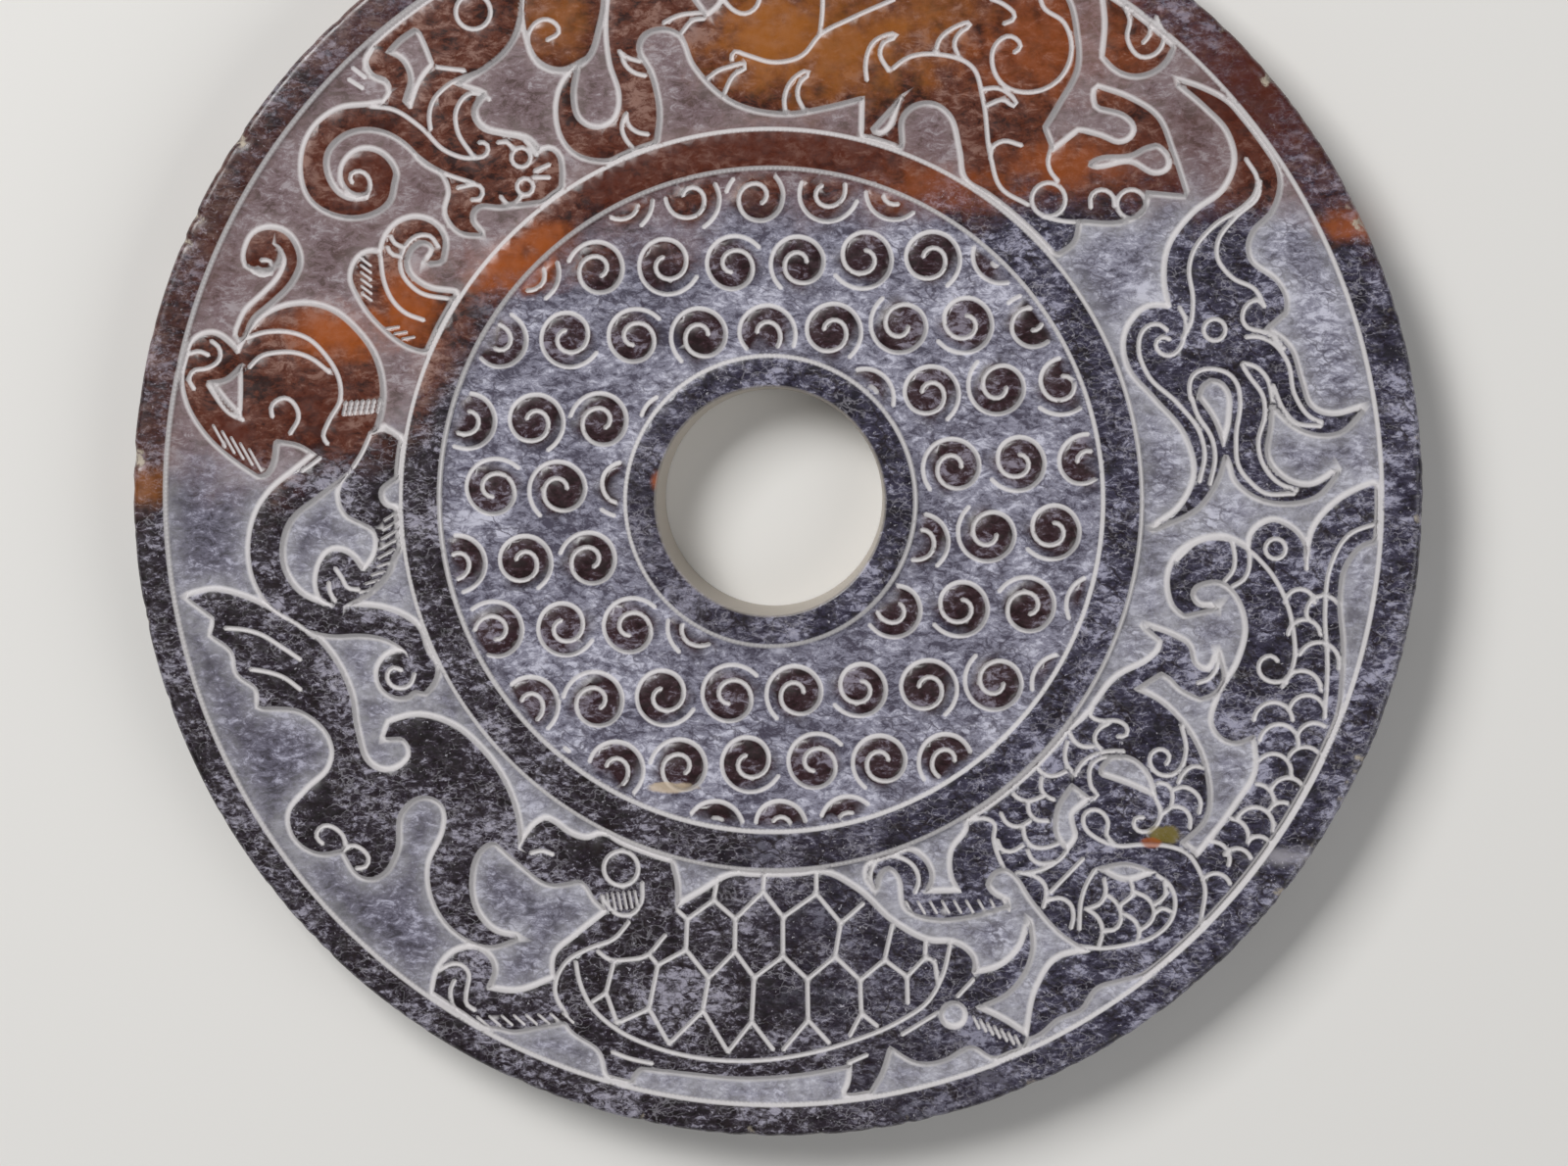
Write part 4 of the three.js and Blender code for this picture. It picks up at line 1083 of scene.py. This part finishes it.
jadeLook = {
    # where brown jade gives way to grey, as places along the disc
    "amberBorder": [(-98.6, -1), (-84, 3), (-66, 6), (-57, 12), (-46, 28), (-34, 38), (0, 44), (32.5, 48.7),
                    (93, 41)],
    "amberSoftness": 12.0,
    "amberRagged": 26.0,
    "rimBrown": 0.45,
    "rimFade": 1,
    # shading from dark stone at the left to grey at the right, and the same for the sunk ground
    "slant": 0.5,
    "darkToGrey": (-50, 10),
    "dimToClear": (-95, -40),
    # low, middle and high tone, scale of the broad clouds and of the fine fibres, share of the high tone
    "dark": (tone(18, 10, 13), tone(40, 31, 40), tone(150, 146, 159), 0.11, 0.75, 1.0),
    "grey": (tone(24, 19, 30), tone(54, 50, 68), tone(152, 150, 168), 0.12, 0.7, 1.0),
    "brown": (tone(40, 14, 8), tone(86, 42, 27), tone(146, 112, 100), 0.09, 0.5, 0.75),
    "beads": (tone(28, 9, 11), tone(50, 28, 33), tone(128, 120, 132), 0.14, 0.6, 1.0),
    "dimGround": (tone(38, 32, 46), tone(88, 84, 100), tone(162, 160, 177), 0.1, 0.65, 1.0),
    "clearGround": (tone(62, 57, 74), tone(124, 122, 138), tone(188, 187, 201), 0.12, 0.65, 1.0),
    "brownGround": (tone(66, 42, 38), tone(106, 84, 88), tone(152, 142, 146), 0.09, 0.6, 1.0),
    "bloom": tone(182, 181, 185),
    "brownBloom": tone(152, 138, 137),
    "brownBloomShare": 0.7,
    "gold": tone(150, 88, 30),
    "orange": tone(156, 78, 24),
    "rust": tone(80, 28, 8),
    "line": tone(208, 204, 204),
    "lineShare": 0.88,
    "crystal": tone(190, 186, 194),
    "crackDark": tone(52, 44, 62),
    "crackDeep": tone(24, 11, 13),
    "bore": tone(176, 168, 158),
    "chipFresh": tone(178, 167, 150),
    "chipFade": (0.16, 0.5),
    "chipTint": 0.85,
    "olive": tone(122, 108, 44),
    "residue": tone(196, 176, 150),
    # noises: scale, detail and roughness, then the limits they are eased between and what comes out
    "specks": ((1.7, 2), (0.66, 0.74, 0.0, 0.55)),
    "dusting": ((0.45, 5, 0.7), (0.3, 0.62, 0.45, 0.95)),
    "chipping": ((1.1, 4), (0.3, 0.7, 0.35, 1.25)),
    "sheen": ((0.5, 4), (0.3, 0.7, 0.26, 0.42)),  # roughness of the polished stone
    "borderNoise": (0.07, 5),
    "pitNoise": (2.4, 5, 0.7),
    "pitShare": 0.06,
    "pitShareMatt": 0.8,  # added where the stone is matt
    # cracks: turn, scale, width, strength
    "paleCracks": (0.0, 0.6, 0.08, 0.3),
    "deepCracks": (0.5, 0.32, 0.09, 0.8),
    "darkCracks": (0.3, 0.5, 0.14, 0.75),
    # colour, centre, size across and up, strength
    "glows": [("rust", (6, 54), (50, 8), 0.55), ("orange", (26, 48), (16, 6), 0.45),
              ("crystal", (80, -55), (8, 2), 0.5), ("gold", (8, 70), (26, 13), 0.8),
              ("gold", (-1, 72), (10, 8), 0.8), ("orange", (-40, 36), (12, 6), 0.85),
              ("orange", (-56, 30), (7, 10), 0.8), ("orange", (-67, 26), (12, 7), 0.85),
              ("rust", (-84, 9), (6, 9), 0.9), ("rust", (-70, 14), (12, 10), 0.5),
              ("orange", (46, 52), (15, 6), 0.6), ("orange", (90, 42.5), (9, 4), 0.7),
              ("rust", (64, 52), (14, 12), 0.6), ("orange", (-17.5, 3), (1.6, 2.2), 0.8),
              ("rust", (-62, 50), (14, 14), 0.6), ("gold", (-97, 2), (4, 5), 0.6),
              ("gold", (-33, 74), (8, 9), 0.6), ("rust", (-80, 34), (13, 12), 0.55),
              ("orange", (44, 70), (20, 13), 0.5), ("gold", (26, 76), (12, 7), 0.5),
              ("rust", (76, 64), (24, 16), 0.75), ("rust", (-8, 55), (30, 5), 0.35),
              ("orange", (-34.5, 40), (7, 5), 0.8), ("rust", (-24, 49), (12, 6), 0.7)],
    "glowDepth": (8, 20),  # height of a stain's centre, and its size downwards
    "glowOnGround": 0.35,
    "glowSoftness": 0.85,
    # small spots that lie on the surface: colour, centre, size
    "spots": [("olive", (61.1, -51.4), (3.4, 1.8)), ("orange", (58.9, -52.8), (2.2, 1.0)),
              ("residue", (-15.5, -44.6), (4.4, 1.0))],
    "spotShare": 0.75,
    "spotSoftness": 0.45,
    "spotDepth": (11, 6),
    "ragged": 1.2,
    "matt": 0.62,
    "bump": 0.45,
    "bumpDepth": 0.00012,
    "refraction": 1.52,
}


def jadeMaterial():
    material = bpy.data.materials.new("jade")
    material.use_nodes = True
    tree = material.node_tree
    tree.nodes.clear()
    p = Patch(tree)
    look = jadeLook
    stain, crack, cloud = stainGroup(), crackGroup(), cloudGroup()
    here = p.add("ShaderNodeTexCoord").outputs["Object"]
    centred = p.add("ShaderNodeMapping", Vector=here, Scale=(1 / mm, 1 / mm, 1 / mm),
                    Location=(-disc["ringCentre"][0], -disc["ringCentre"][1], 0)).outputs[0]
    x, y, _ = p.add("ShaderNodeSeparateXYZ", Vector=centred).outputs
    names = ("ground", "groove", "dust", "bead", "chip", "bore")
    ground, groove, dust, bead, chip, bore = (
        p.add("ShaderNodeAttribute", {"attribute_name": name}).outputs["Fac"] for name in names)

    def times(a, b):
        return p.math("MULTIPLY", a, b)

    def greater(a, b):
        return p.math("MAXIMUM", a, b)

    def speckled(name):
        grain, limits = look[name]
        return p.ease(p.grain(centred, *grain), *limits)

    def clouded(name):
        low, middle, high, broad, fine, spread = look[name]
        return p.effect(cloud, Vector=centred, Broad=broad, Fine=fine, Spread=spread, Low=low, Middle=middle,
                        High=high)

    def cracked(name):
        turn, scale, width, amount = look[name]
        vector = p.stretched(centred, (1, 1, 1), turn) if turn else centred
        return p.effect(crack, Vector=vector, Scale=scale, Width=width, Amount=amount)

    def stained(centre, size, depth, softness):
        return p.effect(stain, Vector=centred, Centre=(*centre, depth[0]), Size=(*size, depth[1]),
                        Ragged=look["ragged"], Softness=softness)

    # brown above the border, grey below it
    span = disc["edgeRadius"]
    border = [((atX + span) / (2 * span), (atY + span) / (2 * span)) for atX, atY in look["amberBorder"]]
    along = p.curve(p.math("DIVIDE", p.math("ADD", x, span), 2 * span), border)
    borderY = p.math("SUBTRACT", times(along, 2 * span), span)
    ragged = times(p.math("SUBTRACT", p.grain(centred, *look["borderNoise"]), 0.5), look["amberRagged"])
    above = p.math("ADD", p.math("SUBTRACT", y, borderY), ragged)
    brown = p.ease(above, -look["amberSoftness"] / 2, look["amberSoftness"] / 2)
    rim, fade = disc["rimInner"], look["rimFade"]
    onRim = p.ease(p.length(p.stretched(centred, (1, 1, 0))), rim - fade, rim + fade)
    brownTop = times(brown, p.ease(onRim, 0.0, 1.0, 1.0, look["rimBrown"]))
    slant = p.math("ADD", x, times(y, look["slant"]))

    # the polished stone
    polished = p.blend(p.ease(slant, *look["darkToGrey"]), clouded("dark"), clouded("grey"))
    polished = p.blend(cracked("paleCracks"), polished, look["crystal"])
    polished = p.blend(speckled("specks"), polished, look["crystal"])
    polished = p.blend(cracked("deepCracks"), polished, look["crackDeep"])
    polished = p.blend(bead, polished, clouded("beads"))
    polished = p.blend(brownTop, polished, clouded("brown"))

    # the sunk ground, with pale dust along the edges
    frosted = p.blend(p.ease(slant, *look["dimToClear"]), clouded("dimGround"), clouded("clearGround"))
    frosted = p.blend(cracked("darkCracks"), frosted, look["crackDark"])
    bloomed = times(dust, speckled("dusting"))
    frosted = p.blend(bloomed, frosted, look["bloom"])
    brownGround = p.blend(times(bloomed, look["brownBloomShare"]), clouded("brownGround"), look["brownBloom"])
    frosted = p.blend(brown, frosted, brownGround)
    for tint, centre, size, strength in look["glows"]:
        spot = stained(centre, size, look["glowDepth"], look["glowSoftness"])
        polished = p.blend(times(spot, strength), polished, look[tint])
        frosted = p.blend(times(spot, strength * look["glowOnGround"]), frosted, look[tint])

    colour = p.blend(ground, polished, frosted)
    colour = p.blend(times(groove, look["lineShare"]), colour, look["line"])
    colour = p.blend(bore, colour, look["bore"])
    chipShare = p.ease(times(chip, speckled("chipping")), *look["chipFade"])
    colour = p.blend(times(chipShare, look["chipTint"]), colour, look["chipFresh"])
    for tint, centre, size in look["spots"]:
        spot = stained(centre, size, look["spotDepth"], look["spotSoftness"])
        colour = p.blend(times(spot, look["spotShare"]), colour, look[tint])

    matt = greater(greater(ground, groove), greater(chipShare, bore))
    roughness = p.add("ShaderNodeMix", {"data_type": "FLOAT"})
    for value, k in ((matt, 0), (speckled("sheen"), 2), (look["matt"], 3)):
        p.feed(value, roughness.inputs[k])
    pitShare = p.math("ADD", times(matt, look["pitShareMatt"]), look["pitShare"])
    pits = times(p.grain(centred, *look["pitNoise"]), pitShare)
    bump = p.add("ShaderNodeBump", Strength=look["bump"], Distance=look["bumpDepth"], Height=pits).outputs[0]
    shader = p.add("ShaderNodeBsdfPrincipled", Roughness=roughness.outputs[0], Normal=bump,
                   IOR=look["refraction"])
    p.feed(colour, shader.inputs["Base Color"])
    p.feed(shader.outputs[0], p.add("ShaderNodeOutputMaterial").inputs[0])
    return material


def plainMaterial(name, colour, roughness):
    material = bpy.data.materials.new(name)
    material.use_nodes = True
    shader = material.node_tree.nodes["Principled BSDF"]
    shader.inputs["Base Color"].default_value = colour
    shader.inputs["Roughness"].default_value = roughness
    return material


studio = {
    "floorColour": tone(222, 220, 216),
    "floorRoughness": 0.85,
    "floorSize": 4.0,
    "worldColour": tone(196, 198, 202),
    "worldStrength": 0.26,
    "keyPower": 23.0,
    "keySize": 0.7,
    "keyFrom": (-0.75, 0.75, 1.15),
    "fillPower": 9.0,
    "fillSize": 1.2,
    "fillFrom": (1.1, -0.6, 1.0),
}


def softLight(name, place, size, power):
    lamp = bpy.data.lights.new(name, "AREA")
    lamp.shape = "SQUARE"
    lamp.size = size
    lamp.energy = power
    light = bpy.data.objects.new(name, lamp)
    light.location = place
    light.rotation_euler = (-Vector(place)).to_track_quat("-Z", "Y").to_euler()
    bpy.context.scene.collection.objects.link(light)


def buildStudio():
    half = studio["floorSize"] / 2
    mesh = bpy.data.meshes.new("floor")
    corners = [(-half, -half, 0), (half, -half, 0), (half, half, 0), (-half, half, 0)]
    mesh.from_pydata(corners, [], [(0, 1, 2, 3)])
    mesh.materials.append(plainMaterial("paleFloor", studio["floorColour"], studio["floorRoughness"]))
    floor = bpy.data.objects.new("floor", mesh)
    bpy.context.scene.collection.objects.link(floor)
    softLight("key", studio["keyFrom"], studio["keySize"], studio["keyPower"])
    softLight("fill", studio["fillFrom"], studio["fillSize"], studio["fillPower"])
    world = bpy.data.worlds.new("studio")
    world.use_nodes = True
    back = world.node_tree.nodes["Background"]
    back.inputs[0].default_value = studio["worldColour"]
    back.inputs[1].default_value = studio["worldStrength"]
    bpy.context.scene.world = world
    bpy.context.scene.view_settings.view_transform = "Standard"


cameraFit = {
    "photoWidth": 1600,
    "photoHeight": 1190,
    "pixelsPerMm": 6.6,  # at the disc's top
    "ringCentrePixel": (785.7, 511.7),
    "distance": 841.0,
    "tilt": math.radians(4.4),  # how far the view leans off straight down
    "lean": math.radians(44.5),  # and towards where
    "sensor": 36.0,
    "clip": (0.05, 20),
}


def buildCamera():
    tilt, lean = cameraFit["tilt"], cameraFit["lean"]
    c, s = math.cos(lean), math.sin(lean)
    towards = Vector((math.sin(tilt) * c, math.sin(tilt) * s, math.cos(tilt)))
    slope = Vector((math.cos(tilt) * c, math.cos(tilt) * s, -math.sin(tilt)))
    across = Vector((-s, c, 0))
    right = slope * c - across * s
    up = slope * s + across * c
    centre = Vector((*disc["ringCentre"], disc["thickness"]))
    eye = centre + towards * cameraFit["distance"]
    scale = cameraFit["pixelsPerMm"]
    offX = (cameraFit["photoWidth"] / 2 - cameraFit["ringCentrePixel"][0]) / scale
    offY = (cameraFit["photoHeight"] / 2 - cameraFit["ringCentrePixel"][1]) / scale
    aim = centre + right * offX - up * offY
    back = (eye - aim).normalized()
    side = up.cross(back).normalized()
    camera = bpy.data.cameras.new("camera")
    camera.sensor_width = cameraFit["sensor"]
    camera.lens = scale * cameraFit["distance"] * cameraFit["sensor"] / cameraFit["photoWidth"]
    camera.clip_start, camera.clip_end = cameraFit["clip"]
    view = bpy.data.objects.new("camera", camera)
    turn = Matrix((side, back.cross(side), back)).transposed()
    view.matrix_world = Matrix.Translation(eye * mm) @ turn.to_4x4()
    bpy.context.scene.collection.objects.link(view)
    bpy.context.scene.camera = view


jade = jadeMaterial()
piece = buildDisc()
piece.data.materials.append(jade)
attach(piece, "root")
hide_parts(discNode)
buildStudio()
buildCamera()
print("scene built")
